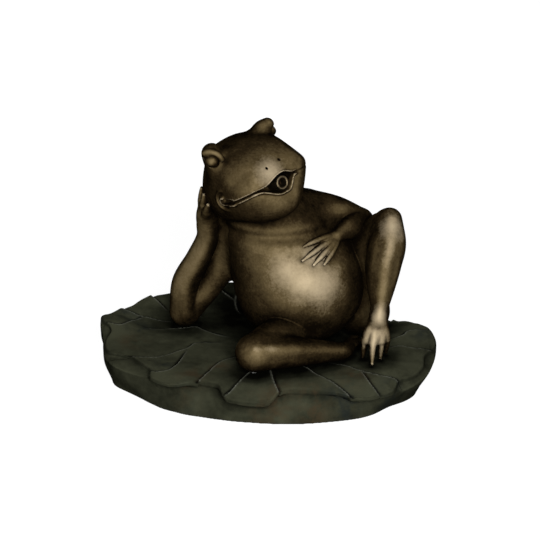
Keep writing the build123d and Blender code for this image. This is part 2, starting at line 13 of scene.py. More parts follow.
import bpy
import numpy as np
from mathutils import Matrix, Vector


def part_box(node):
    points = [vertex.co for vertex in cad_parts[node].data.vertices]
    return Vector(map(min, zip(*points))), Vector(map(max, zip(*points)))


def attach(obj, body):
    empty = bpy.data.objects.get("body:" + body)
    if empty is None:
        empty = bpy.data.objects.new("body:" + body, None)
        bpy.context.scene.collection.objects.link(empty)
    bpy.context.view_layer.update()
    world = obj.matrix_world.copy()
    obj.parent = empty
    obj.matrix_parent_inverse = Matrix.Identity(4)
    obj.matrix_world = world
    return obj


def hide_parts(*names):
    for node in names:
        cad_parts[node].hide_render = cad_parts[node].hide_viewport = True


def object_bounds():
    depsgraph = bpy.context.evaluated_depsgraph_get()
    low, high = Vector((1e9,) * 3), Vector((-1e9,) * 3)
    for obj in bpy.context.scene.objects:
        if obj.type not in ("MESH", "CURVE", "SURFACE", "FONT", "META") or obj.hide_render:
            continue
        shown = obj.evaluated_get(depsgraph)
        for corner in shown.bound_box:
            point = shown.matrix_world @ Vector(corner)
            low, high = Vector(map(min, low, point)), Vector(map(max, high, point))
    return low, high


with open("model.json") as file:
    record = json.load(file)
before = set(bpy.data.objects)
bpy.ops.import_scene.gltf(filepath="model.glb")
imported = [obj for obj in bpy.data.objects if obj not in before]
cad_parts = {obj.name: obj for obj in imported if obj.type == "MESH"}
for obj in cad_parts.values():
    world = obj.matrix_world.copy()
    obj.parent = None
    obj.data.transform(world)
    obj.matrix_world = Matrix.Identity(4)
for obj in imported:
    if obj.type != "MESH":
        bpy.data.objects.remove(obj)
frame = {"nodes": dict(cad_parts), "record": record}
cad_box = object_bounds()

MM = 0.001
FAR = 1.0e6
TINY = 1e-6
NEAR_REACH = 26.0
SEED = 7
WORKERS = ThreadPoolExecutor(4)


# Places and sizes from the frame

def single(values):
    """Numbers as an array of single precision."""
    return np.array(values, np.float32)


def node_box(node):
    """Lowest and highest corner of a CAD node, in millimetres."""
    low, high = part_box(node)
    return single(low) / np.float32(MM), single(high) / np.float32(MM)


def node_middle(node):
    """Middle of a CAD node's box, in millimetres."""
    low, high = node_box(node)
    return (low + high) / 2


def spot(node, shares):
    """A place given by shares of a CAD node's box, in millimetres."""
    low, high = node_box(node)
    return low + (high - low) * single(shares)


def unit(vector):
    """The vector at length one."""
    return vector / np.linalg.norm(vector)


mounts = {mount["name"]: mount for mount in frame["record"]["mounts"]}
torso_low, torso_high = node_box("torso")
SEAT = float(torso_low[2])
BELLY_RADIUS = float(torso_high[1] - torso_low[1]) / 2

# The head's own axes: from eye to eye, out of the mouth, and up
EYES = {-1: node_middle("right_eye"), 1: node_middle("left_eye")}
EYE_RADIUS = float((node_box("left_eye")[1] - node_box("left_eye")[0])[2]) / 2
EYE_SPAN = float(np.linalg.norm(EYES[1] - EYES[-1]))
HEAD_FRONT = unit(single(mounts["spout"]["axis"]))
HEAD_RIGHT = unit(EYES[1] - EYES[-1])
HEAD_UP = np.cross(HEAD_FRONT, HEAD_RIGHT)
HEAD_AXES = np.stack([HEAD_RIGHT, HEAD_FRONT, HEAD_UP])
SPOUT_TIP = (
    single(mounts["spout"]["pos_m"]) / np.float32(MM)
    + HEAD_FRONT * mounts["spout"]["dims"]["length_mm"] / 2
)
HEAD_MIDDLE = SPOUT_TIP - HEAD_FRONT * 0.656 * EYE_SPAN
HEAD_SIZES = EYE_SPAN * single((0.586, 0.696, 0.650))
JAW_DROP = EYE_SPAN * 0.470


# Distance fields: each takes points, one a row, and gives distances in millimetres

def length(rows):
    """Length of each row."""
    return np.sqrt(np.einsum("ij,ij->i", rows, rows))


def ease(values, start, end):
    """Smooth step from 0 at start to 1 at end."""
    share = np.clip((values - start) / (end - start), 0.0, 1.0)
    return share * share * (3.0 - 2.0 * share)


def bump(values, width):
    """A bell of height 1 and that half width."""
    return np.exp(-np.square(values / width))


def join(first, second, reach):
    """Union of two fields with a fillet of that reach."""
    share = np.maximum(reach - np.abs(first - second), 0.0) / reach
    return np.minimum(first, second) - share * share * reach / 4


def cut(field, tool, reach):
    """A field with a tool's field taken away, its edge eased."""
    return -join(-field, tool, reach)


def ball(points, middle, radius):
    """A sphere."""
    return length(points - middle) - radius


def spine(places, radii, steps=8):
    """A smooth line through places, with a radius at each point."""
    knots = np.column_stack([np.array(places), np.array(radii)])
    knots = np.vstack([2 * knots[0] - knots[1], knots, 2 * knots[-1] - knots[-2]])
    shares = np.linspace(0.0, 1.0, steps, endpoint=False)[:, None]
    rows = []
    for before, start, end, after in zip(knots, knots[1:], knots[2:], knots[3:]):
        slope = (end - before) / 2
        next_slope = (after - start) / 2
        rise = end - start
        curve = 3 * rise - 2 * slope - next_slope
        twist = slope + next_slope - 2 * rise
        rows.append(start + shares * (slope + shares * (curve + shares * twist)))
    return single(np.vstack(rows + [knots[-2:-1]]))


def bar(points, line):
    """A round bar along a spine: the spheres on it and the cones that touch them."""
    middle = line[:, :3].mean(axis=0)
    starts = line[:-1, :3] - middle
    runs = np.diff(line[:, :3], axis=0)
    sizes = length(runs)
    headings = runs / sizes[:, None]
    taper = np.clip(-np.diff(line[:, 3]) / sizes, -0.95, 0.95)
    places = points - middle
    along = places @ headings.T - np.einsum("ij,ij->i", starts, headings)
    square = np.einsum("ij,ij->i", places, places)[:, None] - 2 * places @ starts.T
    square += np.einsum("ij,ij->i", starts, starts)
    across = np.sqrt(np.maximum(square - along * along, 0.0))
    share = np.clip(along - across * (taper / np.sqrt(1 - taper * taper)), 0.0, sizes)
    gap = np.hypot(across, share - along) + share * taper
    return (gap - line[:-1, 3]).min(axis=1)


def bars(points, lines, reach):
    """Several bars joined with fillets."""
    total = bar(points, lines[0])
    for line in lines[1:]:
        total = join(total, bar(points, line), reach)
    return total


def sheet(points, corners, thickness):
    """A flat three-cornered web."""
    normal = unit(np.cross(corners[1] - corners[0], corners[2] - corners[0]))
    within = np.ones(len(points), bool)
    edge_gap = np.full(len(points), FAR, np.float32)
    for start, end in zip(corners, (corners[1], corners[2], corners[0])):
        run = end - start
        offset = points - start
        within &= offset @ np.cross(normal, run) > 0
        share = np.clip(offset @ run / (run @ run), 0.0, 1.0)
        edge_gap = np.minimum(edge_gap, length(offset - share[:, None] * run))
    return np.where(within, np.abs((points - corners[0]) @ normal), edge_gap) - thickness


def above_seat(points):
    """Negative above the flat seat of the leaf."""
    return SEAT - points[:, 2]


def close_by(points, field, low, high):
    """A field near its own box, and the distance to the box further away."""
    outside = length(np.maximum(np.maximum(low - points, points - high), 0.0))
    close = outside < NEAR_REACH
    outside[close] = field(points[close])
    return outside


# Torso

BELLY = spot("torso", (0.531, 0.50, 0.373))
CHEST = spot("torso", (0.344, 0.48, 0.70))
NECK = spot("torso", (0.254, 0.47, 0.858))
THROAT = spot("torso", (0.19, 0.463, 0.971))
TORSO_RADII = BELLY_RADIUS * single((1.0, 0.727, 0.545, 0.455))
BELLY_LINE = spine([BELLY, CHEST, NECK, THROAT], TORSO_RADII)
FOLD_HEIGHT = CHEST[2] + 0.13 * BELLY_RADIUS
FOLD_WIDTH = 5.5
FOLD_DEPTH = 2.6
COLLAR_DEPTH = 1.1
SPINE_HOLLOW = 1.6
SPINE_WIDTH = 0.14 * BELLY_RADIUS


def torso_form(points):
    """The pear of belly, chest and neck, with a fold under the throat and a hollow spine."""
    form = bar(points, BELLY_LINE)
    side = points - BELLY
    front = ease(-side[:, 1] / BELLY_RADIUS, -0.1, 0.5)
    rise = points[:, 2] - FOLD_HEIGHT
    form += front * FOLD_DEPTH * bump(rise, FOLD_WIDTH)
    form -= front * COLLAR_DEPTH * bump(rise - 1.7 * FOLD_WIDTH, FOLD_WIDTH)
    back = ease(side[:, 1] / BELLY_RADIUS, 0.2, 0.7)
    lean = side[:, 0] + 0.5 * (points[:, 2] - BELLY[2])
    form += back * SPINE_HOLLOW * bump(lean, SPINE_WIDTH)
    return form


# Head

MOUTH_LEFT = -0.40 * EYE_SPAN
MOUTH_RIGHT = 0.180 * EYE_SPAN
MOUTH_LEVEL = 0.060 * EYE_SPAN
MOUTH_RISE = 0.060 * EYE_SPAN
MOUTH_DROP = 0.140 * EYE_SPAN
MOUTH_FLOOR = 0.42 * EYE_SPAN
SMILE_SAG = 0.021
SMILE_SLOPE = 0.12
GROOVE_DEPTH = 2.2
GROOVE_WIDTH = 0.65
LOWER_LIP = (1.5, 2.2, 1.1)
UPPER_LIP = (0.8, 1.5, 0.9)
PIT_RADII = (2.5, 1.9)
CORNER_RIDGE = (2.0, 4.2, 1.2)
CORNER_RINGS = ((1.2, 7.4, 1.3), (-0.8, 10.2, 1.5))
TUBE_HOLE = 1.37
NOSTRILS = EYE_SPAN * single(((-0.134, 0.645, 0.256), (0.090, 0.643, 0.276)))
NOSTRIL_RADIUS = 1.15
SNOUT_POWER = 4.6
NAPE_POWER = 2.3
CROWN_POWER = 2.3
FOREHEAD_TILT = unit(single((0.0, 0.60, 0.80)))
FOREHEAD_REACH = 0.655 * EYE_SPAN
BROW_TILT = unit(single((0.748, 0.40, 0.529)))
BROW_REACH = 0.668 * EYE_SPAN
JOWL_TILT = unit(single((0.68, 0.55, -0.482)))
JOWL_REACH = 0.645 * EYE_SPAN
TEMPLE_TILT = unit(single((0.744, -0.447, 0.496)))
TEMPLE_REACH = 0.617 * EYE_SPAN
FOREHEAD_EASE = 18.0
SIDE_EASE = 8.0
BROW_EASE = 3.0
HOLE_EASE = 1.0


def mirrored(local):
    """Both halves of the head laid over each other."""
    return np.column_stack([np.abs(local[:, 0]), local[:, 1:]])


def skull_form(local):
    """A rounded wedge, higher above the mouth than below it, square at the snout."""
    height = np.where(local[:, 2] > 0, HEAD_SIZES[2], JAW_DROP)
    power = np.where(local[:, 1] > 0, SNOUT_POWER, NAPE_POWER)
    round_power = np.where(local[:, 2] > 0, CROWN_POWER, 2.0)
    along = np.abs(local[:, 1]) / HEAD_SIZES[1]
    beside = np.abs(local[:, 0]) / HEAD_SIZES[0]
    over = np.abs(local[:, 2]) / height
    across = (beside ** round_power + over ** round_power) ** (1 / round_power) + TINY
    size = (along ** power + across ** power) ** (1 / power)
    along_slope = (along / size) ** (power - 1) / HEAD_SIZES[1]
    across_slope = (across / size) ** (power - 1)
    beside_slope = across_slope * (beside / across) ** (round_power - 1) / HEAD_SIZES[0]
    over_slope = across_slope * (over / across) ** (round_power - 1) / height
    slope = np.sqrt(along_slope ** 2 + beside_slope ** 2 + over_slope ** 2)
    form = (size - 1) / np.maximum(slope, 1e-4)
    form = cut(form, FOREHEAD_REACH - local @ FOREHEAD_TILT, FOREHEAD_EASE)
    half = mirrored(local)
    form = cut(form, JOWL_REACH - half @ JOWL_TILT, SIDE_EASE)
    form = cut(form, TEMPLE_REACH - half @ TEMPLE_TILT, SIDE_EASE)
    return cut(form, BROW_REACH - half @ BROW_TILT, BROW_EASE)


def on_skull(place):
    """A place in the head's own axes, moved onto the skull."""
    place = EYE_SPAN * single([place])
    axes = np.eye(3, dtype=np.float32)
    for _ in range(6):
        rises = [skull_form(place + axis) - skull_form(place - axis) for axis in axes]
        slope = np.column_stack(rises) / 2
        place = place - skull_form(place)[:, None] * slope / np.sum(slope * slope)
    return place[0]


CORNER = on_skull((0.60, 0.145, 0.025))
PIT_END = on_skull((0.56, 0.337, 0.018))
PIT_LINE = spine([CORNER - (1.0, 0.0, 0.0), PIT_END - (1.0, 0.0, 0.0)], PIT_RADII, 2)


def lips(across):
    """Height of the lower and of the upper lip's edge across the face."""
    way = (across - MOUTH_LEFT) / (MOUTH_RIGHT - MOUTH_LEFT)
    left = np.maximum(MOUTH_LEFT - across, 0.0)
    right = np.maximum(across - MOUTH_RIGHT, 0.0)
    line = MOUTH_LEVEL - SMILE_SAG * left * left - SMILE_SLOPE * right
    lower = line - MOUTH_DROP * ease(way, 0.0, 0.58) * (1 - ease(way, 0.70, 1.0))
    upper = line + MOUTH_RISE * ease(way, 0.15, 0.68) * (1 - ease(way, 0.74, 1.0))
    return lower, upper


def lip_gaps(local):
    """Distance below the lower lip's edge and above the upper one's."""
    heights = lips(local[:, 0])
    onward = lips(local[:, 0] + 0.5)
    lower_lean, upper_lean = (np.hypot(1.0, 2 * (b - a)) for a, b in zip(heights, onward))
    return (heights[0] - local[:, 2]) / lower_lean, (local[:, 2] - heights[1]) / upper_lean


def mouth_relief(local):
    """Height to take off the head for the mouth line, the lips and the folds at its corners."""
    below, above = lip_gaps(local)
    ahead = ease(local[:, 1], CORNER[1] + 5.0, CORNER[1] + 11.0)
    shallow = 1 - 0.88 * ease(local[:, 0], MOUTH_RIGHT, MOUTH_RIGHT + 6.0)
    relief = GROOVE_DEPTH * bump(np.maximum(np.maximum(below, above), 0.0), GROOVE_WIDTH)
    for (height, offset, width), gap in ((LOWER_LIP, below), (UPPER_LIP, above)):
        relief -= height * bump(gap - offset, width)
    relief *= ahead * shallow
    gap = bar(mirrored(local), PIT_LINE * (1, 1, 1, 0))
    behind = ease((CORNER[1] + 3.0 - local[:, 1]) / np.maximum(gap, 1.0), -0.3, 0.6)
    lowered = ease((CORNER[2] - 1.0 - local[:, 2]) / np.maximum(gap, 1.0), 0.2, 0.7)
    lowered *= 1 - ease(local[:, 1], PIT_END[1], PIT_END[1] + 8.0)
    height, radius, width = CORNER_RIDGE
    relief -= np.maximum(behind, lowered) * height * bump(gap - radius, width)
    for depth, radius, width in CORNER_RINGS:
        relief += behind * depth * bump(gap - radius, width)
    return relief


def mouth_holes(local):
    """The pocket between the lips, the hole for the tube, the nostrils and the corner pits."""
    below, above = lip_gaps(local)
    holes = np.maximum(np.maximum(below, above) + 0.05, MOUTH_FLOOR - local[:, 1])
    bore = np.hypot(local[:, 0], local[:, 2]) - TUBE_HOLE * mounts["spout"]["dims"]["r_mm"]
    holes = np.minimum(holes, np.maximum(bore, -local[:, 1]))
    for nostril in NOSTRILS:
        line = spine([nostril - (0.0, 4.0, 1.0), nostril + (0.0, 3.0, 1.0)], [NOSTRIL_RADIUS] * 2, 1)
        holes = np.minimum(holes, bar(local, line))
    return np.minimum(holes, bar(mirrored(local), PIT_LINE))


# Eyes: for each side the mound's stations from inside the skull to its top, how far the ball lies
# towards the middle of the head and up, the ball's size and the socket's radius and its shift ahead;
# only the near eye shows a thick lid. All are shares of the ball's radius.
MOUNDS = {
    -1: (((-2.2, -1.8, -2.6), 2.3), ((-0.95, -0.7, 0.40), 1.66), ((-0.15, 0.05, 1.06), 1.12)),
    1: (((-2.2, -1.8, -2.2), 2.3), ((-1.10, -0.5, 0.35), 1.58), ((-0.02, 0.06, 1.06), 1.04)),
}
BALL_SHIFTS = {-1: (0.0, 0.45), 1: (0.5, 0.0)}
BALL_SIZES = {-1: 1.06, 1: 0.94}
SOCKETS = {-1: (1.13, 0.30), 1: (1.00, 0.85)}
LIDS = {-1: 0.44}
LID_RADIUS = 1.66
LID_AHEAD = 0.22
LID_LEAN = 1.1
EYE_LOOK = (0.80, 0.48, -0.36)
EYE_LEAN = -0.25
IRIS_AHEAD = 0.46
IRIS_SIZE = 0.60
MOUND_FILLET = 6.0
LID_FILLET = 2.5
IRIS_FILLET = 0.8


def eye_place(side):
    """The eyeball's middle in the head's own axes."""
    place = HEAD_AXES @ (EYES[side] - HEAD_MIDDLE)
    inward, upward = BALL_SHIFTS[side]
    return place + EYE_RADIUS * single((-side * inward, 0.0, upward))


def eye_axes(side):
    """Where an eye looks, and which way is up across that."""
    across, ahead, rise = EYE_LOOK
    look = unit(single((side * across, ahead, rise)))
    upright = single((EYE_LEAN * side, 0.0, 1.0))
    return look, unit(upright - look * (upright @ look))


def eye_mound(side):
    """Spine of the mound that carries an eye, from inside the skull to its top."""
    place = eye_place(side)
    places = [place + EYE_RADIUS * single((side * x, y, z)) for (x, y, z), _ in MOUNDS[side]]
    return spine(places, [EYE_RADIUS * radius for _, radius in MOUNDS[side]], 4)


EYE_MOUNDS = {side: eye_mound(side) for side in EYES}


def lid_form(local, form, side):
    """A mound with a socket for the ball, and a thick upper lid that arches over it."""
    look, up = eye_axes(side)
    offset = local - eye_place(side)
    along = offset @ look
    around = length(offset - along[:, None] * look)
    form = join(form, bar(local, EYE_MOUNDS[side]), MOUND_FILLET)
    if side in LIDS:
        crown = unit(up + LID_LEAN * (single((0.0, 1.0, 0.0)) - look * look[1]))
        raised = ease((offset @ crown) / np.maximum(around, 0.3), 0.0, 0.6)
        lid = np.hypot(around - LID_RADIUS * EYE_RADIUS, along - LID_AHEAD * EYE_RADIUS)
        form = join(form, lid - LIDS[side] * EYE_RADIUS * raised + 3.0 * (1 - raised), LID_FILLET)
    radius, ahead = SOCKETS[side]
    return cut(form, length(offset - ahead * EYE_RADIUS * look) - radius * EYE_RADIUS, HOLE_EASE)


def eye_form(points, side):
    """An eyeball with a slightly raised iris."""
    middle = HEAD_MIDDLE + eye_place(side) @ HEAD_AXES
    radius = BALL_SIZES[side] * EYE_RADIUS
    ahead = IRIS_AHEAD * radius * (eye_axes(side)[0] @ HEAD_AXES)
    iris = ball(points, middle + ahead, IRIS_SIZE * radius)
    return join(ball(points, middle, radius), iris, IRIS_FILLET)


def head_form(points):
    """Head with lids, mouth, lips, nostrils and the pocket round the mouth tube."""
    local = (points - HEAD_MIDDLE) @ HEAD_AXES.T
    form = skull_form(local)
    for side in EYES:
        form = lid_form(local, form, side)
    form += mouth_relief(local)
    return cut(form, mouth_holes(local), HOLE_EASE)


# Limbs: places as shares of the node's box, radii as shares of the belly's radius

KNUCKLE_SHARE = 0.38
JOINT_SHARE = 0.72
JOINT_ARCH = 0.8
JOINT_SPREAD = 0.7
WEB_SINK = 0.55
CREST_SHARE = 0.82
CREST_SIZE = 0.28


def limb(node, *stations):
    """A spine through stations, each a place and a radius."""
    places = [spot(node, place) for place, _ in stations]
    return spine(places, [radius * BELLY_RADIUS for _, radius in stations])


def digits(node, root, tips, arch, spread, radii, web, thickness):
    """Fingers or toes that fan out from one root, arched over the skin, and the webs between them."""
    start = spot(node, root)
    runs = [spot(node, tip) - start for tip in tips]
    middle = sum(runs) / len(runs)
    lines = []
    for run in runs:
        fan = spread * (run - middle)
        knuckle = start + KNUCKLE_SHARE * run + arch + fan
        joint = start + JOINT_SHARE * run + JOINT_ARCH * arch + JOINT_SPREAD * fan
        lines.append(spine([start, knuckle, joint, start + run], single(radii) * BELLY_RADIUS, 5))
    end = int(web * (len(lines[0]) - 1))
    half = end // 2
    sunk = WEB_SINK * arch
    webs = []
    for first, second in zip(lines, lines[1:]):
        near = (first[half, :3] - sunk, second[half, :3] - sunk)
        far = (first[end, :3] - sunk, second[end, :3] - sunk)
        webs += [(start, *near), (*near, far[0]), (near[1], *far)]
    places = np.vstack(lines)[:, :3]
    box = (places.min(axis=0), places.max(axis=0))
    return {"lines": lines, "webs": webs, "thickness": thickness * BELLY_RADIUS, "box": box}


def crest(line, heading):
    """A thinner line along one side of a limb's line, which raises a ridge on it."""
    raised = line.copy()
    raised[:, :3] += CREST_SHARE * line[:, 3:] * unit(single(heading))
    raised[:, 3] *= CREST_SIZE
    return raised


def whole_limb(upper, lower, heading, hand, fillets):
    """An arm or leg: its bars, a ridge on the lower one, its hand, and fillets at body, bend and hand."""
    body, bend, wrist = fillets
    return {
        "upper": upper,
        "lower": lower,
        "ridge": crest(lower, heading),
        "hand": hand,
        "body": body,
        "bend": bend,
        "wrist": wrist,
    }


PROPPING_UPPER = limb(
    "propping_arm",
    ((0.90, 0.72, 0.652), 0.345),
    ((0.74, 0.76, 0.36), 0.205),
    ((0.26, 0.80, 0.10), 0.205),
)
PROPPING_FORE = limb(
    "propping_arm",
    ((0.205, 0.80, 0.090), 0.235),
    ((0.235, 0.71, 0.300), 0.213),
    ((0.434, 0.594, 0.482), 0.187),
    ((0.585, 0.49, 0.638), 0.167),
    ((0.600, 0.42, 0.739), 0.168),
    ((0.592, 0.345, 0.815), 0.152),
)
PROPPING_HAND = digits(
    "propping_arm",
    (0.578, 0.38, 0.79),
    ((0.635, 0.032, 0.930), (0.575, 0.146, 0.972), (0.530, 0.282, 0.985), (0.525, 0.43, 0.965)),
    arch=single((-1.0, -0.5, 0.0)),
    spread=0.12,
    radii=(0.115, 0.078, 0.056, 0.030),
    web=0.55,
    thickness=0.055,
)
RESTING_UPPER = limb(
    "resting_arm",
    ((0.161, 0.772, 0.629), 0.325),
    ((0.50, 0.77, 0.580), 0.262),
    ((0.815, 0.75, 0.455), 0.190),
)
RESTING_FORE = limb(
    "resting_arm",
    ((0.826, 0.739, 0.448), 0.190),
    ((0.70, 0.57, 0.432), 0.180),
    ((0.60, 0.455, 0.420), 0.125),
    ((0.52, 0.36, 0.395), 0.092),
)
RESTING_HAND = digits(
    "resting_arm",
    (0.53, 0.37, 0.40),
    ((0.100, 0.115, 0.335), (0.088, 0.03, 0.135), (0.220, 0.034, 0.052), (0.350, 0.072, 0.040)),
    arch=single((0.5, -2.6, 1.6)),
    spread=0.12,
    radii=(0.066, 0.050, 0.042, 0.021),
    web=0.80,
    thickness=0.014,
)
RAISED_THIGH = limb(
    "raised_leg",
    ((0.490, 0.80, 0.125), 0.405),
    ((0.47, 0.71, 0.46), 0.360),
    ((0.610, 0.63, 0.735), 0.300),
    ((0.735, 0.52, 0.872), 0.215),
)
RAISED_SHIN = limb(
    "raised_leg",
    ((0.792, 0.483, 0.920), 0.172),
    ((0.760, 0.407, 0.772), 0.265),
    ((0.700, 0.36, 0.648), 0.270),
    ((0.668, 0.305, 0.513), 0.218),
    ((0.640, 0.217, 0.366), 0.130),
    ((0.618, 0.192, 0.285), 0.100),
)
RAISED_FOOT = digits(
    "raised_leg",
    (0.618, 0.190, 0.300),
    ((0.412, 0.149, 0.02), (0.527, 0.016, 0.02), (0.658, 0.128, 0.02), (0.748, 0.235, 0.02)),
    arch=single((0.0, -0.4, 0.4)),
    spread=single((0.34, -0.28, 0.0)),
    radii=(0.105, 0.064, 0.046, 0.024),
    web=0.56,
    thickness=0.052,
)
FOLDED_THIGH = limb(
    "folded_leg",
    ((0.519, 0.868, 0.53), 0.333),
    ((0.337, 0.534, 0.493), 0.318),
    ((0.165, 0.21, 0.490), 0.270),
)
FOLDED_SHIN = limb(
    "folded_leg",
    ((0.165, 0.21, 0.490), 0.262),
    ((0.369, 0.293, 0.410), 0.240),
    ((0.608, 0.397, 0.315), 0.185),
    ((0.801, 0.482, 0.226), 0.134),
    ((0.855, 0.60, 0.16), 0.110),
)
FOLDED_FOOT = digits(
    "folded_leg",
    (0.84, 0.56, 0.17),
    ((0.932, 0.804, 0.068), (0.977, 0.868, 0.068), (0.952, 0.971, 0.068)),
    arch=single((0.0, 0.0, 2.0)),
    spread=0.20,
    radii=(0.090, 0.070, 0.058, 0.030),
    web=0.60,
    thickness=0.020,
)

# Each limb's fillets are at the body, at the bend and at the hand or foot, in millimetres
LIMBS = {
    "propping_arm": whole_limb(
        PROPPING_UPPER, PROPPING_FORE, (0.25, -0.9, 0.2), PROPPING_HAND, fillets=(12.0, 2.0, 3.0)
    ),
    "resting_arm": whole_limb(
        RESTING_UPPER, RESTING_FORE, (-0.3, -0.7, 0.5), RESTING_HAND, fillets=(12.0, 2.5, 3.0)
    ),
    "raised_leg": whole_limb(
        RAISED_THIGH, RAISED_SHIN, (0.02, -0.95, 0.25), RAISED_FOOT, fillets=(1.5, 6.0, 7.0)
    ),
    "folded_leg": whole_limb(
        FOLDED_THIGH, FOLDED_SHIN, (0.1, -0.80, 0.55), FOLDED_FOOT, fillets=(1.5, 4.0, 3.5)
    ),
}
CREST_REACH = 7.0
FINGER_REACH = 1.6
WEB_REACH = 2.0
SKIRT_LIFT = 0.06
SKIRT_ROOT = 3.0
SKIRT_SHARE = 0.98
NODE_BOXES = {name: node_box(name) for name in ("head", *LIMBS)}


def hand_form(points, hand):
    """Fingers or toes and their webs."""
    form = bars(points, hand["lines"], FINGER_REACH)
    for web in hand["webs"]:
        form = join(form, sheet(points, web, hand["thickness"]), WEB_REACH)
    return form


def limb_form(points, name):
    """One arm or leg on its own."""
    own = LIMBS[name]
    form = join(bar(points, own["lower"]), bar(points, own["ridge"]), CREST_REACH)
    form = join(bar(points, own["upper"]), form, own["bend"])
    hand = close_by(points, partial(hand_form, hand=own["hand"]), *own["hand"]["box"])
    return join(form, hand, own["wrist"])


def limb_shown(points, name):
    """An arm or leg and the fillet that joins it to the torso."""
    root = bar(points, LIMBS[name]["upper"])
    return np.minimum(limb_form(points, name), join(torso_form(points), root, LIMBS[name]["body"]))


def limb_skin(points, name):
    """An arm or leg with the fillet that runs out on the torso."""
    fillet = LIMBS[name]["body"]
    torso = torso_form(points)
    root = bar(points, LIMBS[name]["upper"])
    skirt = np.maximum(join(torso, root, fillet) - SKIRT_LIFT, root - SKIRT_SHARE * fillet)
    skin = np.minimum(limb_form(points, name), skirt)
    skin = np.maximum(skin, -torso - SKIRT_ROOT)
    return np.maximum(skin, above_seat(points))


def torso_skin(points):
    """The torso, cut flat on the leaf and open for the head."""
    form = np.maximum(torso_form(points), above_seat(points))
    return np.maximum(form, -SKIRT_ROOT - head_form(points))


def figure(points):
    """The whole frog."""
    total = np.minimum(torso_form(points), close_by(points, head_form, *NODE_BOXES["head"]))
    for name in LIMBS:
        total = np.minimum(total, close_by(points, partial(limb_shown, name=name), *NODE_BOXES[name]))
    return total


# Skins: closed meshes of a field's zero surface

BLOCK = 6
BLOCK_REACH = 1.6
NORMAL_REACH = 0.4


def batches(field, points, size=30000):
    """A field's values, worked out a batch of points at a time."""
    points = single(points)
    starts = range(0, len(points), size)
    return np.concatenate(list(WORKERS.map(lambda start: field(points[start:start + size]), starts)))


def slopes(field, points, reach):
    """A field's gradient."""
    rows = []
    for axis in np.eye(3) * reach:
        rows.append(batches(field, points + axis) - batches(field, points - axis))
    return np.column_stack(rows) / (2 * reach)


def sampled(field, low, counts, step):
    """A field on a grid, worked out in full only in the blocks near its surface."""
    blocks = -(-counts // BLOCK)
    middles = np.stack(np.meshgrid(*[np.arange(n) for n in blocks], indexing="ij"), -1).reshape(-1, 3)
    coarse = batches(field, low + step * (middles * BLOCK + (BLOCK - 1) / 2))
    near = np.abs(coarse) < BLOCK_REACH * step * BLOCK
    values = np.repeat(coarse, BLOCK ** 3).reshape(-1, BLOCK, BLOCK, BLOCK)
    inner = np.stack(np.meshgrid(*[np.arange(BLOCK)] * 3, indexing="ij"), -1).reshape(-1, 3)
    fine = (middles[near][:, None] * BLOCK + inner[None]).reshape(-1, 3)
    values[near] = batches(field, low + step * fine).reshape(-1, BLOCK, BLOCK, BLOCK)
    grid = values.reshape(*blocks, BLOCK, BLOCK, BLOCK).transpose(0, 3, 1, 4, 2, 5)
    return grid.reshape(*(blocks * BLOCK))


def surface(field, low, high, step):
    """Points and quads of a field's surface inside a box."""
    counts = np.ceil((high - low) / step).astype(int) + 1
    values = sampled(field, low, counts, step)
    inside = values < 0
    cells = np.array(values.shape) - 1
    corners = np.array([(i, j, k) for i in (0, 1) for j in (0, 1) for k in (0, 1)])
    filled = np.zeros(cells, np.int8)
    for i, j, k in corners:
        filled += inside[i:i + cells[0], j:j + cells[1], k:k + cells[2]]
    active = (filled > 0) & (filled < len(corners))
    places = np.argwhere(active)
    index = np.full(cells, -1)
    index[active] = np.arange(len(places))
    total = np.zeros((len(places), 3))
    hits = np.zeros(len(places))
    for first in corners:
        for axis in np.flatnonzero(first == 0):
            second = first + np.eye(3, dtype=int)[axis]
            start = values[tuple((places + first).T)]
            end = values[tuple((places + second).T)]
            crossed = (start < 0) != (end < 0)
            share = start[crossed] / (start[crossed] - end[crossed])
            total[crossed] += first + share[:, None] * (second - first)
            hits[crossed] += 1
    points = low + step * (places + total / hits[:, None])
    quads = []
    for axis in range(3):
        side, other = np.roll(np.eye(3, dtype=int), -axis - 1, axis=0)[:2]
        ahead = np.roll(np.eye(3, dtype=int), -axis, axis=0)[0]
        here = inside[tuple(slice(0, n) for n in cells)]
        there = inside[tuple(slice(a, n + a) for a, n in zip(ahead, cells))]
        edges = np.argwhere(here != there)
        edges = edges[(edges[:, side == 1] > 0).ravel() & (edges[:, other == 1] > 0).ravel()]
        ring = [index[tuple((edges - shift).T)] for shift in (side + other, other, 0 * side, side)]
        faces = np.column_stack(ring)
        leaving = here[tuple(edges.T)]
        faces[~leaving] = faces[~leaving][:, ::-1]
        quads.append(faces)
    return points, np.vstack(quads)


def settled(field, points, step):
    """Points moved onto the field's surface."""
    slope = slopes(field, points, 0.3 * step)
    size = np.maximum(np.einsum("ij,ij->i", slope, slope), 0.05)
    for _ in range(3):
        move = np.clip(batches(field, points) / size, -step, step)
        points = points - 0.8 * move[:, None] * slope
    return points


# Painted light and shade, with worn paint, worked out from the whole figure

# Spots of painted highlight and worn paint: place, reach as a share of the belly's radius, strength
HIGHLIGHT_AND_WEAR_SPOTS = (
    (spot("torso", (0.67, 0.05, 0.465)), 0.34, 0.74),
    (spot("torso", (0.57, 0.04, 0.505)), 0.34, 0.64),
    (spot("torso", (0.47, 0.04, 0.56)), 0.34, 0.56),
    (spot("raised_leg", (0.80, 0.38, 0.88)), 0.20, 1.0),
    (spot("raised_leg", (0.61, 0.10, 0.33)), 0.20, 0.85),
    (spot("raised_leg", (0.57, 0.08, 0.17)), 0.26, 0.80),
    (spot("resting_arm", (0.25, 0.05, 0.18)), 0.24, 0.75),
    (HEAD_MIDDLE + EYE_SPAN * (single((-0.12, 0.66, 0.20)) @ HEAD_AXES), 0.22, 0.85),
)
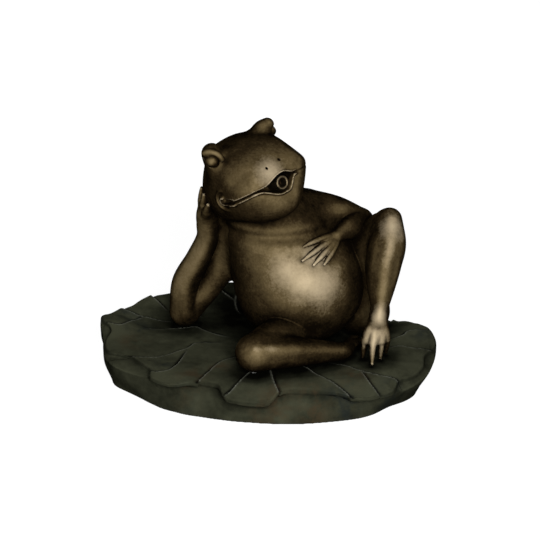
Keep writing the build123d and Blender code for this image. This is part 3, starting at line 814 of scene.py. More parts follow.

# Spots of painted shade, where the figure lies in shadow: place, reach as a share of the belly's radius,
# strength
PAINTED_SHADE_SPOTS = (
    (spot("torso", (0.60, 0.08, 0.13)), 0.55, 0.75),
    (spot("resting_arm", (0.20, 0.60, 0.85)), 0.55, 0.60),
    (spot("resting_arm", (0.78, 0.55, 0.55)), 0.32, 0.50),
    (spot("propping_arm", (0.25, 0.65, 0.10)), 0.45, 0.45),
    (spot("folded_leg", (0.62, 0.25, 0.20)), 0.45, 0.50),
    (spot("propping_arm", (0.64, 0.70, 0.33)), 0.35, 0.45),
)

# Streaks of painted highlight and worn paint along the limbs' ridges: width in millimetres, strength near
# the bend
HIGHLIGHT_AND_WEAR_RIDGES = {
    "propping_arm": (2.5, 0.20),
    "resting_arm": (2.0, 0.15),
    "raised_leg": (2.0, 0.75),
    "folded_leg": (1.1, 1.0),
}
RIDGE_LENGTH = 0.62 * BELLY_RADIUS
RIDGE_LEAST = 0.12
SHARP_RANGE = (0.14, 0.48)
OPEN_REACHES = (2.0, 5.0, 11.0, 22.0, 40.0)

# Headings of the painted light: faces turned to the front are painted lighter, and less so those turned
# to the back and the sides
PAINTED_LIGHT_HEADING = unit(single((0.08, -0.94, 0.30)))
HAND_PAINTED_LIGHT_HEADING = unit(single((-0.40, -0.90, 0.20)))
BACK_PAINTED_LIGHT_HEADINGS = (
    unit(single((0.0, 0.94, 0.34))),
    unit(single((-0.80, 0.55, 0.25))),
    unit(single((0.80, 0.55, 0.25))),
)
BACK_PAINTED_LIGHT = 0.82
LEAST_SHADE = 0.06
RIDGE_SHADE = 0.25
RIDGE_WORN_AND_HIGHLIGHT = 0.75
SHADE_POWER = 2.6
HIGHLIGHT_POWER = 1.5
WORN_AND_HIGHLIGHT_DEPTH = 0.75
# Powers of the painted shade in crevices, between parts and near the leaf: on the figure, and on the
# propping arm
CREVICE_SHADE_POWER = 1.6
HAND_CREVICE_SHADE_POWER = 0.9


def surroundings(points):
    """The frog and the leaf's seat."""
    return np.minimum(figure(points), points[:, 2] - SEAT)


def openness(field, points, normals):
    """How open the surface lies, from 0 in a crevice to 1."""
    total = np.zeros(len(points))
    for reach in OPEN_REACHES:
        free = batches(field, points + normals * reach) / reach
        total += np.clip(free, 0.0, 1.0) / len(OPEN_REACHES)
    return total


def neighbour_mean(values, quads):
    """Mean of each point's neighbours along the quads' edges."""
    starts = quads.ravel()
    ends = np.roll(quads, 1, axis=1).ravel()
    size = len(values)
    count = np.bincount(starts, minlength=size) + np.bincount(ends, minlength=size)
    total = np.bincount(starts, values[ends], size) + np.bincount(ends, values[starts], size)
    return total / np.maximum(count, 1)


def sharpness(points, quads, normals, step):
    """How sharply the surface bulges, in parts of a millimetre."""
    around = np.column_stack([neighbour_mean(points[:, axis], quads) for axis in range(3)])
    bulge = 2 * np.einsum("ij,ij->i", points - around, normals) / step ** 2
    return neighbour_mean(neighbour_mean(bulge, quads), quads)


def spots(points, rows):
    """The strongest of some spots at each point: rows of a place, a reach and a strength."""
    total = np.zeros(len(points))
    for place, reach, strength in rows:
        total = np.maximum(total, strength * bump(length(points - place), reach * BELLY_RADIUS))
    return total


def highlight_and_wear_at(points):
    """How much painted highlight and worn paint there is at spots and along the limbs' ridges."""
    painted_highlight_and_wear = spots(points, HIGHLIGHT_AND_WEAR_SPOTS)
    for name, (width, strength) in HIGHLIGHT_AND_WEAR_RIDGES.items():
        ridge = LIMBS[name]["ridge"]
        fade = RIDGE_LEAST + (1 - RIDGE_LEAST) * bump(length(points - ridge[0, :3]), RIDGE_LENGTH)
        painted_highlight_and_wear = np.maximum(painted_highlight_and_wear, strength * fade * bump(np.maximum(bar(points, ridge), 0.0), width))
    return painted_highlight_and_wear


def painted_light_and_wear(points, quads, normals, step, light_heading, depth):
    """Paint layers from 0 to 1: painted light and shade on the bronze, and pale gold where the paint is
    worn and where highlights are painted.
    """
    openly = openness(surroundings, points, normals)
    facing = np.clip(normals @ light_heading, 0.0, 1.0)
    for heading in BACK_PAINTED_LIGHT_HEADINGS:
        facing = np.maximum(facing, BACK_PAINTED_LIGHT * (normals @ heading))
    ridge = ease(sharpness(points, quads, normals, step), *SHARP_RANGE)
    ridge *= ease(batches(torso_form, points), 0.5, 4.0)
    # Painted light and shade: faces turned towards the painted light are lighter, faces turned away
    # darker
    shade = LEAST_SHADE + (1 - LEAST_SHADE) * facing ** SHADE_POWER + RIDGE_SHADE * ridge
    # Painted shade in crevices, between parts and near the leaf
    shade *= openly ** depth
    # Painted highlights with worn paint at the listed spots and ridges, strongest on faces towards the
    # painted light
    gilt = batches(highlight_and_wear_at, points) * facing ** HIGHLIGHT_POWER + RIDGE_WORN_AND_HIGHLIGHT * ridge * (1 + facing) / 2
    gilt = np.clip(gilt, 0.0, 1.0) * openly ** WORN_AND_HIGHLIGHT_DEPTH
    # Painted shade at the listed shadow spots, on both layers
    unshaded = 1 - spots(points, PAINTED_SHADE_SPOTS)
    return {"shade": shade * unshaded, "gilt": gilt * unshaded}


def normals_of(field, points):
    """A field's outward normals."""
    normals = slopes(field, points, NORMAL_REACH)
    return normals / np.maximum(length(normals), TINY)[:, None]


def add_piece(name, mesh, material, node):
    """A mesh as an object that stands for a CAD node."""
    mesh.materials.append(material)
    piece = bpy.data.objects.new(name, mesh)
    bpy.context.scene.collection.objects.link(piece)
    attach(piece, "root")
    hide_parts(node)


def make_piece(name, points, quads, normals, layers, material, node):
    """A piece with its own normals and paint layers."""
    mesh = bpy.data.meshes.new(name)
    mesh.from_pydata((points * MM).tolist(), [], quads.tolist())
    mesh.validate()
    mesh.polygons.foreach_set("use_smooth", np.ones(len(mesh.polygons), bool))
    mesh.normals_split_custom_set_from_vertices(normals.tolist())
    for layer, values in layers.items():
        attribute = mesh.attributes.new(layer, "FLOAT", "POINT")
        attribute.data.foreach_set("value", values.astype(np.float32))
    add_piece(name, mesh, material, node)


def cast_piece(name, node, skin, shown, step, margin, light_heading=PAINTED_LIGHT_HEADING, depth=CREVICE_SHADE_POWER):
    """A casting's closed skin, with normals from the form that shows."""
    low, high = node_box(node)
    points, quads = surface(skin, low - margin, high + margin, step)
    points = settled(skin, points, step)
    normals = normals_of(shown, points)
    layers = painted_light_and_wear(points, quads, normals, step, light_heading, depth)
    make_piece(name, points, quads, normals, layers, BRONZE, node)


# Lily pad

PAD_LOW, PAD_HIGH = node_box("lily_pad")
PAD_SIZE = PAD_HIGH - PAD_LOW
PLATE_TOP = node_box("bottom_plate")[1][2]
PAD_HEADING = math.radians(-7.0)
PAD_POWER = 2.33
PAD_SIDE_INSET = 12.0
PAD_WALL = 24.0
PAD_LEDGE = 20.2
PAD_CEILING = SEAT - 8.2
RIM_START = 0.70
RIM_FRONT_DROP = 7.5
RIM_LEFT_LIFT = 8.5
RIM_RIGHT_DROP = 3.0
RIM_EDGE = 3.0
RIM_NOTCH = 0.87
RIM_DROOP = 30.0
WALL_INSET = 20.0
# Painted shade on the leaf's side walls: the share of the top's brightness they keep
WALL_SHADE = 0.70
VEIN_STEP = 1.6
VEIN_EDGE = 0.8
VEIN_RUNOUT = 7.0
LEAF_STEP = 1.15
LEAF_MARGIN = 10.0

# What the pad is hollowed for: the plate's screws and the inlet
screw_low, screw_high = node_box("plate_screws")
SCREW_HEAD = 4.0
POST_RADIUS = 6.0
SCREW_PLACES = (screw_low + SCREW_HEAD, screw_high - SCREW_HEAD)
INLET = node_middle("inlet_fitting")
INLET_FLOOR = node_box("inlet_gasket")[0][1]
INLET_POCKET = 1.2 * (node_box("inlet_fitting")[1] - node_box("inlet_fitting")[0])[0] / 2

# Veins and folds as shares of the pad's box, each from the middle outwards
VEINS = (
    ((0.22, 0.72), (0.116, 0.72), (0.08, 0.735), (0.01, 0.79)),
    ((0.116, 0.72), (0.087, 0.667), (0.053, 0.585), (0.01, 0.59)),
    ((0.19, 0.80), (0.133, 0.88), (0.108, 0.945)),
    ((0.396, 0.546), (0.353, 0.57), (0.306, 0.62), (0.28, 0.655), (0.22, 0.635), (0.14, 0.63)),
    (
        (0.40, 0.49), (0.292, 0.49), (0.263, 0.434), (0.223, 0.382),
        (0.181, 0.335), (0.138, 0.324), (0.042, 0.335),
    ),
    ((0.263, 0.434), (0.245, 0.312), (0.229, 0.242), (0.204, 0.197), (0.15, 0.205)),
    (
        (0.42, 0.36), (0.395, 0.329), (0.353, 0.265), (0.322, 0.164),
        (0.291, 0.098), (0.246, 0.06), (0.208, 0.057),
    ),
    ((0.47, 0.26), (0.444, 0.175), (0.425, 0.12), (0.397, 0.06), (0.374, 0.03)),
    ((0.51, 0.25), (0.516, 0.164), (0.523, 0.098), (0.539, 0.023), (0.53, -0.02)),
    ((0.58, 0.30), (0.617, 0.238), (0.646, 0.164), (0.697, 0.098), (0.734, 0.044), (0.758, 0.0)),
    (
        (0.68, 0.29), (0.716, 0.265), (0.745, 0.238), (0.773, 0.203),
        (0.833, 0.182), (0.872, 0.175), (0.90, 0.13),
    ),
    ((0.773, 0.203), (0.794, 0.131), (0.824, 0.06)),
    ((0.86, 0.44), (0.905, 0.454), (0.942, 0.442), (0.995, 0.43)),
    ((0.87, 0.52), (0.914, 0.553), (0.933, 0.585), (0.985, 0.585)),
    ((0.80, 0.66), (0.87, 0.73), (0.90, 0.80), (0.91, 0.86)),
    ((0.87, 0.73), (0.93, 0.74), (0.97, 0.72)),
    ((0.66, 0.80), (0.69, 0.89), (0.67, 0.96), (0.68, 1.0)),
    ((0.69, 0.89), (0.75, 0.94), (0.77, 0.99)),
    ((0.42, 0.80), (0.40, 0.90), (0.42, 0.96), (0.41, 1.0)),
    ((0.40, 0.90), (0.35, 0.95), (0.33, 1.0)),
    ((0.30, 0.76), (0.25, 0.86), (0.21, 0.93), (0.20, 0.98)),
)

# Lobes of the leaf's front edge: heading in degrees, half width, how far they reach out
LOBES = (
    (-164.0, 12.0, 0.12),
    (-124.0, 8.0, 0.09),
    (-92.0, 10.0, 0.15),
    (-46.0, 13.0, 0.12),
    (-18.0, 14.0, 0.09),
)

# Places where the leaf's outline bulges: heading in degrees, half width, share of its reach
BULGES = (
    (170.0, 11.0, 0.062),
    (214.0, 12.0, -0.008),
    (152.0, 5.0, -0.020),
    (14.0, 16.0, 0.022),
    (-35.0, 12.0, -0.015),
)

# Places where the leaf's edge is raised: heading in degrees, half width, rise
LIFTS = (
    (22.0, 12.0, 4.8),
    (49.0, 15.0, -10.0),
    (110.0, 12.0, 10.0),
    (146.0, 12.0, 1.8),
    (164.0, 4.0, -1.5),
    (175.0, 9.0, 4.0),
)

# Places where the wall's foot stands further out: heading in degrees, half width, share
FOOT_BULGES = (
    (-160.0, 10.0, 0.45),
    (-138.0, 12.0, -0.3),
    (-88.0, 26.0, 0.55),
    (-34.0, 9.0, -0.35),
)

# Stains on the leaf, and painted shadows: shares of the pad's box, reach in millimetres
RUSTS = (
    ((0.093, 0.474), 13.0),
    ((0.283, 0.172), 13.0),
    ((0.358, 0.240), 10.0),
    ((0.470, 0.010), 9.0),
    ((0.530, 0.040), 14.0),
    ((0.748, 0.159), 13.0),
    ((0.630, 0.040), 14.0),
)
BLUES = (
    ((0.048, 0.700), 17.0),
    ((0.111, 0.603), 13.0),
    ((0.259, 0.056), 11.0),
    ((0.200, 0.270), 9.0),
    ((0.970, 0.560), 12.0),
    ((0.720, 0.050), 16.0),
    ((0.868, 0.112), 14.0),
)
# Painted shadows where the frog's arm and belly shade the leaf
PAINTED_LEAF_SHADOWS = (((0.398, 0.834), 34.0), ((0.40, 0.70), 24.0))


def lattice_noise(points, scale, seed):
    """Smooth noise from -1 to 1 over the plane, with features of that size."""
    table = np.random.default_rng(seed).uniform(-1.0, 1.0, (64, 64))
    cell = points[:, :2] / scale
    base = np.floor(cell).astype(int)
    share = cell - base
    share = share * share * (3 - 2 * share)
    near, far = base % 64, (base + 1) % 64
    across, along = share.T
    low = table[near[:, 0], near[:, 1]] * (1 - across) + table[far[:, 0], near[:, 1]] * across
    high = table[near[:, 0], far[:, 1]] * (1 - across) + table[far[:, 0], far[:, 1]] * across
    return low * (1 - along) + high * along


def vein_lines():
    """The veins as smooth lines in millimetres."""
    lines = []
    for shares in VEINS:
        places = [spot("lily_pad", (x, y, 1.0)) * (1, 1, 0) for x, y in shares]
        lines.append(spine(places, [0.0] * len(places), 4)[:, :2])
    return lines


VEIN_LINES = vein_lines()


def vein_relief(places):
    """Steps in the leaf along its veins, and masks for their upper edges, painted pale as worn paint and
    highlight, and for the grooves below them, painted as shade.
    """
    relief = np.zeros(len(places))
    edge = np.zeros(len(places))
    groove = np.zeros(len(places))
    for line in VEIN_LINES:
        offset = places[:, None] - line[None, :-1]
        runs = np.diff(line, axis=0)
        share = np.einsum("ijk,jk->ij", offset, runs) / np.sum(runs * runs, axis=1)
        share = np.clip(share, 0.0, 1.0)
        gaps = np.hypot(*np.moveaxis(offset - share[:, :, None] * runs, 2, 0))
        best = gaps.argmin(axis=1)
        row = np.arange(len(places))
        turn = runs[best, 0] * offset[row, best, 1] - runs[best, 1] * offset[row, best, 0]
        gap = gaps[row, best] * np.sign(turn) * np.sign(line[-1, 0] - line[0, 0])
        way = (best + share[row, best]) / len(runs)
        strength = ease(way, 0.0, 0.25) * (1 - 0.7 * ease(way, 0.8, 1.0))
        fall = np.exp(-np.abs(gap) / VEIN_RUNOUT)
        relief -= VEIN_STEP * strength * fall * (2 * ease(gap, -VEIN_EDGE, VEIN_EDGE) - 1)
        edge = np.maximum(edge, strength * bump(gap + VEIN_EDGE, 0.85))
        groove = np.maximum(groove, strength * bump(gap - 1.2 * VEIN_EDGE, 1.8))
    return np.column_stack([np.clip(relief, -2.0, 2.0), edge, groove])


def pad_polar(points):
    """Reach from the pad's middle (1 at its outline) and heading, for points over the pad."""
    turn, lean = math.cos(PAD_HEADING), math.sin(PAD_HEADING)
    across = (points[:, 0] * turn + points[:, 1] * lean) * 2 / PAD_SIZE[0]
    along = (points[:, 1] * turn - points[:, 0] * lean) * 2 / PAD_SIZE[1]
    reach = (np.abs(across) ** PAD_POWER + np.abs(along) ** PAD_POWER) ** (1 / PAD_POWER)
    return reach, np.arctan2(along, across)


def round_bumps(heading, rows, power=2):
    """Sum of bumps round the leaf: rows of heading in degrees, half width and height."""
    total = np.zeros(len(heading))
    for middle, width, height in rows:
        gap = np.degrees(np.angle(np.exp(1j * (heading - math.radians(middle)))))
        total += height * np.exp(-np.abs(gap / width) ** power)
    return total


def front_share(heading):
    """1 on the front half of the leaf, 0 on the rear half."""
    return ease(-np.sin(heading), -0.15, 0.25)


def leaf_top(points):
    """Height of the leaf's upper face."""
    reach, heading = pad_polar(points)
    rise = ease(reach, RIM_START, 1.0)
    tilt = np.where(np.cos(heading) < 0, RIM_LEFT_LIFT, RIM_RIGHT_DROP)
    lift = RIM_FRONT_DROP * np.sin(heading) - tilt * np.cos(heading) + round_bumps(heading, LIFTS)
    droop = RIM_DROOP * round_bumps(heading, LOBES, 4) * front_share(heading)
    height = SEAT - 0.2 + lift * rise - droop * ease(reach, 0.80, 1.02)
    shown = (np.abs(points[:, 2] - height) < 9.0) & (reach < 1.08)
    relief = np.zeros(len(points), np.float32)
    relief[shown] = vein_relief(points[shown, :2])[:, 0]
    height += relief * ease(reach, 0.30, 0.45) * (1 - ease(reach, 0.99, 1.06))
    height += 0.7 * lattice_noise(points, 24.0, SEED) + 0.25 * lattice_noise(points, 7.0, SEED + 1)
    return height


def outline_gap(points, inset):
    """Distance to the pad's outline drawn in by an inset."""
    reach, heading = pad_polar(points)
    radius = np.maximum(length(points[:, :2]), 1.0) / np.maximum(reach, 1e-3)
    scallop = 1 + round_bumps(heading, BULGES)
    return (reach - scallop) * np.minimum(radius, PAD_SIZE[1] * 0.6) + inset


def pad_form(points):
    """The leaf: veined top, drooping edge, side wall, hollow underside and inlet seat."""
    top = points[:, 2] - leaf_top(points)
    _, heading = pad_polar(points)
    front = front_share(heading)
    lobes = np.minimum(RIM_NOTCH + round_bumps(heading, LOBES, 4), 1.0)
    plate = front * (1 - lobes) * PAD_SIZE[1] * 0.6
    foot = 1 - ease(points[:, 2], -4.0, 30.0)
    ahead = ease(-np.sin(heading), 0.5, 0.9)
    side = PAD_SIDE_INSET * foot * (1 - round_bumps(heading, FOOT_BULGES))
    side = side + ahead * (1 - foot) * WALL_INSET
    inset = plate + (side - plate) * ease(-top, 3.0, 8.0)
    round_wall = np.column_stack([heading * 120.0, points[:, 2] * 0.6])
    wall = outline_gap(points, inset) + 0.5 * lattice_noise(round_wall, 12.0, SEED + 2)
    form = -join(-top, -wall, RIM_EDGE)
    form = np.maximum(form, PAD_LOW[2] - points[:, 2])
    ledge = np.maximum(outline_gap(points, PAD_LEDGE - 0.4), points[:, 2] - PLATE_TOP)
    hollow = np.maximum(outline_gap(points, PAD_WALL + 4.0), points[:, 2] - PAD_CEILING)
    for post_x in (SCREW_PLACES[0][0], SCREW_PLACES[1][0]):
        for post_y in (SCREW_PLACES[0][1], SCREW_PLACES[1][1]):
            post = np.hypot(points[:, 0] - post_x, points[:, 1] - post_y)
            hollow = np.maximum(hollow, POST_RADIUS - post)
    form = np.maximum(form, -np.minimum(ledge, hollow))
    seat_gap = np.hypot(points[:, 0] - INLET[0], points[:, 2] - INLET[2])
    pocket = np.maximum(seat_gap - INLET_POCKET, INLET_FLOOR - points[:, 1])
    return cut(form, pocket, HOLE_EASE)


def pad_scene(points):
    """The leaf with the frog on it."""
    return np.minimum(pad_form(points), figure(points))


def stains(points, rows):
    """Spots on the leaf, from 0 to 1: rows of a place and a reach."""
    total = np.zeros(len(points))
    for (x, y), reach in rows:
        offset = points[:, :2] - spot("lily_pad", (x, y, 1.0))[:2]
        total = np.maximum(total, bump(length(offset), reach))
    return total


def leaf_piece(material):
    """The lily pad's skin with its paint layers."""
    points, quads = surface(pad_form, PAD_LOW - LEAF_MARGIN, PAD_HIGH + LEAF_MARGIN, LEAF_STEP)
    points = settled(pad_form, points, LEAF_STEP)
    normals = normals_of(pad_form, points)
    top = np.abs(points[:, 2] - batches(leaf_top, points)) < 1.0
    _, edge, groove = batches(lambda rows: vein_relief(rows[:, :2]), points).T
    # Painted shade: darker where the frog and crevices close over the leaf, in the vein grooves, at the
    # painted shadows and on the side walls
    shade = openness(pad_scene, points, normals) ** 1.4
    shade *= (1 - 0.9 * groove * top) * (1 - 0.9 * stains(points, PAINTED_LEAF_SHADOWS))
    shade *= WALL_SHADE + (1 - WALL_SHADE) * ease(normals[:, 2], 0.25, 0.7)
    layers = {
        "shade": shade,
        "gilt": edge * top,
        "rust": stains(points, RUSTS),
        "blue": stains(points, BLUES),
    }
    make_piece("lily_leaf", points, quads, normals, layers, material, "lily_pad")


# Turned pieces

# The tube's outside as a share of its bore, its flare as a share of that, and its length
TUBE_SIZE = 1.411
TUBE_FLARE = 1.1
TUBE_LENGTH = 22.0


def turned(name, node, base, axis, profile, material, sides=72):
    """A closed lathe piece: profile lists (radius, height) round the section, in millimetres."""
    axis = unit(axis)
    across = unit(np.cross(axis, (0.0, 0.0, 1.0)))
    along = np.cross(axis, across)
    points, quads = [], []
    count = len(profile)
    for side in range(sides):
        turn = 2 * math.pi * side / sides
        outward = math.cos(turn) * across + math.sin(turn) * along
        for row, (radius, height) in enumerate(profile):
            points.append((base + axis * height + outward * radius) * MM)
            following = (row + 1) % count
            here = side * count
            ahead = (side + 1) % sides * count
            quads.append((here + row, ahead + row, ahead + following, here + following))
    mesh = bpy.data.meshes.new(name)
    mesh.from_pydata(points, [], quads)
    mesh.validate()
    mesh.shade_smooth()
    mesh.set_sharp_from_angle(angle=math.radians(40))
    add_piece(name, mesh, material, node)


def mouth_tube(material):
    """The tube end in the mouth, with a rounded and slightly flared lip."""
    bore = mounts["spout"]["dims"]["r_mm"]
    outer = bore * TUBE_SIZE
    lip = (TUBE_FLARE * outer - bore) / 2
    rim = [
        (bore + lip + lip * math.cos(turn), -lip + lip * math.sin(turn))
        for turn in np.linspace(0.0, math.pi, 9)
    ]
    profile = [(bore, -TUBE_LENGTH), (outer, -TUBE_LENGTH)] + rim
    turned("mouth_tube", "mouth_nozzle", SPOUT_TIP, HEAD_FRONT, profile, material)


# Materials

def material_nodes(name):
    """An empty node material, its shader and the object's own coordinates."""
    material = bpy.data.materials.new(name)
    material.use_nodes = True
    tree = material.node_tree
    shader = tree.nodes["Principled BSDF"]
    coords = tree.nodes.new("ShaderNodeTexCoord").outputs["Object"]
    return material, tree, shader, coords


def noise(tree, coords, scale, detail=4.0, roughness=0.6):
    """Noise with that many features a metre, as a factor."""
    node = tree.nodes.new("ShaderNodeTexNoise")
    node.inputs["Scale"].default_value = scale
    node.inputs["Detail"].default_value = detail
    node.inputs["Roughness"].default_value = roughness
    tree.links.new(coords, node.inputs["Vector"])
    return node.outputs["Fac"]


def layer(tree, name):
    """A paint layer that the mesh carries."""
    node = tree.nodes.new("ShaderNodeAttribute")
    node.attribute_name = name
    return node.outputs["Fac"]


def math_node(tree, operation, *values):
    """A maths node on sockets or numbers."""
    node = tree.nodes.new("ShaderNodeMath")
    node.operation = operation
    for socket, value in zip(node.inputs, values):
        if isinstance(value, (int, float)):
            socket.default_value = value
        else:
            tree.links.new(value, socket)
    return node.outputs[0]


def ramp(tree, factor, stops):
    """Colours along a factor: stops of (place, colour)."""
    node = tree.nodes.new("ShaderNodeValToRGB")
    elements = node.color_ramp.elements
    while len(elements) < len(stops):
        elements.new(0.5)
    for element, (place, colour) in zip(elements, stops):
        element.position = place
        element.color = (*colour, 1.0)
    tree.links.new(factor, node.inputs["Fac"])
    return node.outputs["Color"]


def mixed(tree, factor, first, second):
    """Two colours mixed by a factor; a colour is a socket or three numbers."""
    node = tree.nodes.new("ShaderNodeMix")
    node.data_type = "RGBA"
    tree.links.new(factor, node.inputs["Factor"])
    for socket, value in zip((node.inputs[6], node.inputs[7]), (first, second)):
        if isinstance(value, tuple):
            socket.default_value = (*value, 1.0)
        else:
            tree.links.new(value, socket)
    return node.outputs[2]


def grain(tree, shader, height, strength, distance):
    """Fine relief on a shader's surface."""
    node = tree.nodes.new("ShaderNodeBump")
    node.inputs["Strength"].default_value = strength
    node.inputs["Distance"].default_value = distance
    tree.links.new(height, node.inputs["Height"])
    tree.links.new(node.outputs["Normal"], shader.inputs["Normal"])


def bronze_paint():
    """Bronze paint: brown, darkened by painted shade in the recesses and on faces turned from the painted
    light, and pale gold where the paint is worn and where highlights are painted.
    """
    material, tree, shader, coords = material_nodes("bronze_paint")
    mottle = noise(tree, coords, 70.0, 5.0, 0.65)
    speckle = noise(tree, coords, 420.0, 3.0, 0.6)
    fine = noise(tree, coords, 1600.0, 2.0, 0.5)
    tone = math_node(tree, "MULTIPLY_ADD", mottle, 0.7, -0.35)
    tone = math_node(tree, "MULTIPLY_ADD", speckle, 0.44, tone)
    tone = math_node(tree, "ADD", tone, -0.22)
    shade = math_node(tree, "MULTIPLY_ADD", tone, 0.9, layer(tree, "shade"))
    # Painted shade: the shade layer takes the bronze from brown to near black
    base = ramp(tree, shade, (
        (0.03, (0.006, 0.004, 0.002)),
        (0.30, (0.032, 0.021, 0.009)),
        (0.62, (0.102, 0.073, 0.033)),
        (1.00, (0.215, 0.160, 0.080)),
    ))
    gilt = math_node(tree, "MULTIPLY_ADD", tone, 0.55, layer(tree, "gilt"))
    gilt = ramp(tree, gilt, ((0.12, (0.0, 0.0, 0.0)), (0.85, (1.0, 1.0, 1.0))))
    # Pale gold of worn paint and painted highlights, partly metallic
    colour = mixed(tree, gilt, base, (0.52, 0.42, 0.275))
    tree.links.new(colour, shader.inputs["Base Color"])
    tree.links.new(math_node(tree, "MULTIPLY", gilt, 0.2), shader.inputs["Metallic"])
    gloss = math_node(tree, "MULTIPLY_ADD", speckle, 0.2, 0.4)
    tree.links.new(gloss, shader.inputs["Roughness"])
    shader.inputs["Specular IOR Level"].default_value = 0.0
    grain(tree, shader, math_node(tree, "ADD", speckle, fine), 0.10, 0.0006)
    return material


def leaf_paint():
    """Green-black leaf paint with rusty and bluish patches, darkened by painted shade, and pale vein
    edges of worn paint and painted highlight.
    """
    material, tree, shader, coords = material_nodes("leaf_paint")
    mottle = noise(tree, coords, 34.0, 6.0, 0.66)
    patches = noise(tree, coords, 60.0, 4.0, 0.6)
    speckle = noise(tree, coords, 380.0, 3.0, 0.6)
    tone = math_node(tree, "MULTIPLY_ADD", mottle, 1.1, -0.58)
    shade = math_node(tree, "ADD", layer(tree, "shade"), tone)
    # Painted shade: the shade layer takes the leaf from green-black to black
    base = ramp(tree, shade, (
        (0.10, (0.003, 0.003, 0.002)),
        (0.55, (0.020, 0.021, 0.013)),
        (1.00, (0.060, 0.062, 0.038)),
    ))
    rust = ramp(tree, patches, ((0.44, (0.0, 0.0, 0.0)), (0.60, (0.6, 0.6, 0.6))))
    rust = math_node(tree, "MULTIPLY", rust, layer(tree, "rust"))
    base = mixed(tree, rust, base, (0.062, 0.042, 0.022))
    blue = ramp(tree, patches, ((0.40, (0.55, 0.55, 0.55)), (0.58, (0.0, 0.0, 0.0))))
    blue = math_node(tree, "MULTIPLY", blue, layer(tree, "blue"))
    base = mixed(tree, blue, base, (0.010, 0.015, 0.018))
    # Pale vein edges: worn paint and painted highlight
    edge = math_node(tree, "MULTIPLY", layer(tree, "gilt"), speckle)
    colour = mixed(tree, edge, base, (0.22, 0.225, 0.18))
    tree.links.new(colour, shader.inputs["Base Color"])
    gloss = math_node(tree, "MULTIPLY_ADD", speckle, 0.25, 0.45)
    tree.links.new(gloss, shader.inputs["Roughness"])
    shader.inputs["Specular IOR Level"].default_value = 0.0
    grain(tree, shader, speckle, 0.15, 0.0006)
    return material


def metal(name, dark, light, roughness, scale):
    """Metal with a cloudy tarnish and fine turning marks."""
    material, tree, shader, coords = material_nodes(name)
    cloud = noise(tree, coords, scale, 5.0, 0.6)
    colour = ramp(tree, cloud, ((0.32, dark), (0.68, light)))
    tree.links.new(colour, shader.inputs["Base Color"])
    shader.inputs["Metallic"].default_value = 1.0
    fine = noise(tree, coords, 9.0 * scale, 2.0, 0.5)
    gloss = math_node(tree, "MULTIPLY_ADD", fine, 0.25, roughness)
    tree.links.new(gloss, shader.inputs["Roughness"])
    grain(tree, shader, fine, 0.08, 0.0003)
    return material


def moulded(name, dark, light, roughness, scale):
    """Moulded plastic or rubber with a fine matt texture."""
    material, tree, shader, coords = material_nodes(name)
    cloud = noise(tree, coords, scale, 4.0, 0.6)
    colour = ramp(tree, cloud, ((0.30, dark), (0.70, light)))
    tree.links.new(colour, shader.inputs["Base Color"])
    shader.inputs["Specular IOR Level"].default_value = 0.3
    fine = noise(tree, coords, 1800.0, 2.0, 0.5)
    gloss = math_node(tree, "MULTIPLY_ADD", fine, 0.2, roughness)
    tree.links.new(gloss, shader.inputs["Roughness"])
    grain(tree, shader, fine, 0.25, 0.0004)
    return material


BRONZE = bronze_paint()
LEAF = leaf_paint()
FINISHES = {
    "bronze_resin": BRONZE,
    "leaf_resin": LEAF,
    "plate_plastic": moulded("plate_plastic", (0.016, 0.016, 0.016), (0.032, 0.032, 0.031), 0.5, 90.0),
    "rubber": moulded("rubber", (0.012, 0.012, 0.012), (0.028, 0.027, 0.026), 0.7, 140.0),
    "steel": metal("steel", (0.30, 0.30, 0.29), (0.55, 0.55, 0.53), 0.25, 160.0),
    "brass": metal("brass", (0.05, 0.038, 0.022), (0.19, 0.145, 0.085), 0.28, 220.0),
    # Copper near black: tarnish, and painted shade for the tube seen inside the bore
    "copper": metal("copper", (0.03, 0.018, 0.012), (0.07, 0.045, 0.03), 0.35, 160.0),
}


def finish_cad_nodes():
    """Every CAD node gets the material of its slot."""
    for row in frame["record"]["subparts"]:
        slots = frame["nodes"][row["node"]].data.materials
        slots.clear()
        slots.append(FINISHES[row["material_slot"]])


# Stage, light and camera

WIDTH = (cad_box[1] - cad_box[0]).x
HEIGHT = (cad_box[1] - cad_box[0]).z
AIM = Vector((0.006 * WIDTH, 0.0, 0.431 * HEIGHT))
CAMERA_RISE = math.radians(21.0)
CAMERA_DISTANCE = 4.526 * WIDTH
VIEW_WIDTH = 1.6075 * WIDTH
SENSOR = 36.0
FLOOR_GLOW = 0.93
FLOOR_REACH = 30.0 * WIDTH

# Lamps: offset from the aim and size in widths of the pad, and level
LAMPS = {
    "key": ((0.45, -4.2, 1.6), 1.8, 0.98),
    "fill": ((-2.6, -2.4, 1.6), 1.6, 0.04),
    "top": ((0.2, 0.6, 3.6), 2.2, 0.05),
    "back": ((-0.8, 6.4, 0.25), 1.0, 0.7),
}


def seen_directly(tree):
    """1 for camera, glossy and transmission rays, 0 for the light on the object."""
    path = tree.nodes.new("ShaderNodeLightPath").outputs
    seen = math_node(tree, "MAXIMUM", path["Is Camera Ray"], path["Is Glossy Ray"])
    return math_node(tree, "MAXIMUM", seen, path["Is Transmission Ray"])


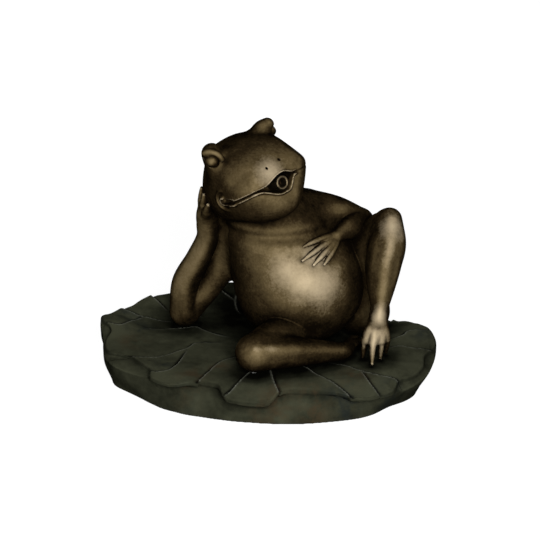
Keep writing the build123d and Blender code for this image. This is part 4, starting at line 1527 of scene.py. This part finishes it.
def make_floor():
    """A pale floor that keeps the shadow."""
    material = bpy.data.materials.new("floor")
    material.use_nodes = True
    tree = material.node_tree
    tree.nodes.remove(tree.nodes["Principled BSDF"])
    diffuse = tree.nodes.new("ShaderNodeBsdfDiffuse")
    diffuse.inputs["Color"].default_value = (0.25, 0.25, 0.25, 1.0)
    glow = tree.nodes.new("ShaderNodeEmission")
    strength = math_node(tree, "MULTIPLY", seen_directly(tree), FLOOR_GLOW)
    tree.links.new(strength, glow.inputs["Strength"])
    both = tree.nodes.new("ShaderNodeAddShader")
    tree.links.new(diffuse.outputs[0], both.inputs[0])
    tree.links.new(glow.outputs[0], both.inputs[1])
    tree.links.new(both.outputs[0], tree.nodes["Material Output"].inputs["Surface"])
    mesh = bpy.data.meshes.new("floor")
    corners = ((-1, -1), (1, -1), (1, 1), (-1, 1))
    places = [(x * FLOOR_REACH, y * FLOOR_REACH, cad_box[0].z) for x, y in corners]
    mesh.from_pydata(places, [], [(0, 1, 2, 3)])
    mesh.materials.append(material)
    floor = bpy.data.objects.new("floor", mesh)
    bpy.context.scene.collection.objects.link(floor)


def make_world():
    """White where it is seen, a low even light elsewhere."""
    world = bpy.data.worlds.new("studio")
    bpy.context.scene.world = world
    world.use_nodes = True
    tree = world.node_tree
    ambient = tree.nodes["Background"]
    ambient.inputs["Color"].default_value = (0.95, 0.97, 1.0, 1.0)
    ambient.inputs["Strength"].default_value = 0.03
    white = tree.nodes.new("ShaderNodeBackground")
    white.inputs["Color"].default_value = (1.0, 1.0, 1.0, 1.0)
    white.inputs["Strength"].default_value = 1.0
    both = tree.nodes.new("ShaderNodeMixShader")
    tree.links.new(seen_directly(tree), both.inputs["Fac"])
    tree.links.new(ambient.outputs[0], both.inputs[1])
    tree.links.new(white.outputs[0], both.inputs[2])
    tree.links.new(both.outputs[0], tree.nodes["World Output"].inputs["Surface"])


def make_lamp(name, place, size, level):
    """A soft square lamp aimed at the figure; at level 1 a facing colour shows as it is written."""
    lamp = bpy.data.lights.new(name, "AREA")
    lamp.size = size * WIDTH
    offset = Vector(place) * WIDTH
    lamp.energy = level * math.pi ** 2 * offset.length_squared
    piece = bpy.data.objects.new(name, lamp)
    piece.location = AIM + offset
    piece.rotation_euler = offset.to_track_quat("Z", "Y").to_euler()
    bpy.context.scene.collection.objects.link(piece)


def make_camera():
    """The photograph's view: from the front, a little above."""
    camera = bpy.data.cameras.new("camera")
    camera.sensor_width = SENSOR
    camera.lens = SENSOR * CAMERA_DISTANCE / VIEW_WIDTH
    camera.clip_end = 100.0
    piece = bpy.data.objects.new("camera", camera)
    offset = Vector((0.0, -math.cos(CAMERA_RISE), math.sin(CAMERA_RISE))) * CAMERA_DISTANCE
    piece.location = AIM + offset
    piece.rotation_euler = offset.to_track_quat("Z", "Y").to_euler()
    bpy.context.scene.collection.objects.link(piece)
    bpy.context.scene.camera = piece


# Assembly, with each skin's grid step and the margin round its node's box in millimetres

finish_cad_nodes()
cast_piece("frog_torso", "torso", torso_skin, torso_form, step=1.2, margin=4.0)
cast_piece("frog_head", "head", head_form, head_form, step=0.75, margin=6.0)
for side, eye_name in ((-1, "right_eye"), (1, "left_eye")):
    eye = partial(eye_form, side=side)
    cast_piece("frog_" + eye_name, eye_name, eye, eye, step=0.6, margin=5.0)
for limb_name in LIMBS:
    looks = (PAINTED_LIGHT_HEADING, CREVICE_SHADE_POWER)
    if limb_name == "propping_arm":
        looks = (HAND_PAINTED_LIGHT_HEADING, HAND_CREVICE_SHADE_POWER)
    skin = partial(limb_skin, name=limb_name)
    shown = partial(limb_shown, name=limb_name)
    cast_piece("frog_" + limb_name, limb_name, skin, shown, 0.9, 24.0, *looks)
leaf_piece(LEAF)
mouth_tube(FINISHES["brass"])

make_floor()
make_world()
for lamp_name, (place, size, level) in LAMPS.items():
    make_lamp(lamp_name, place, size, level)
make_camera()

bpy.context.scene.view_settings.view_transform = "Standard"
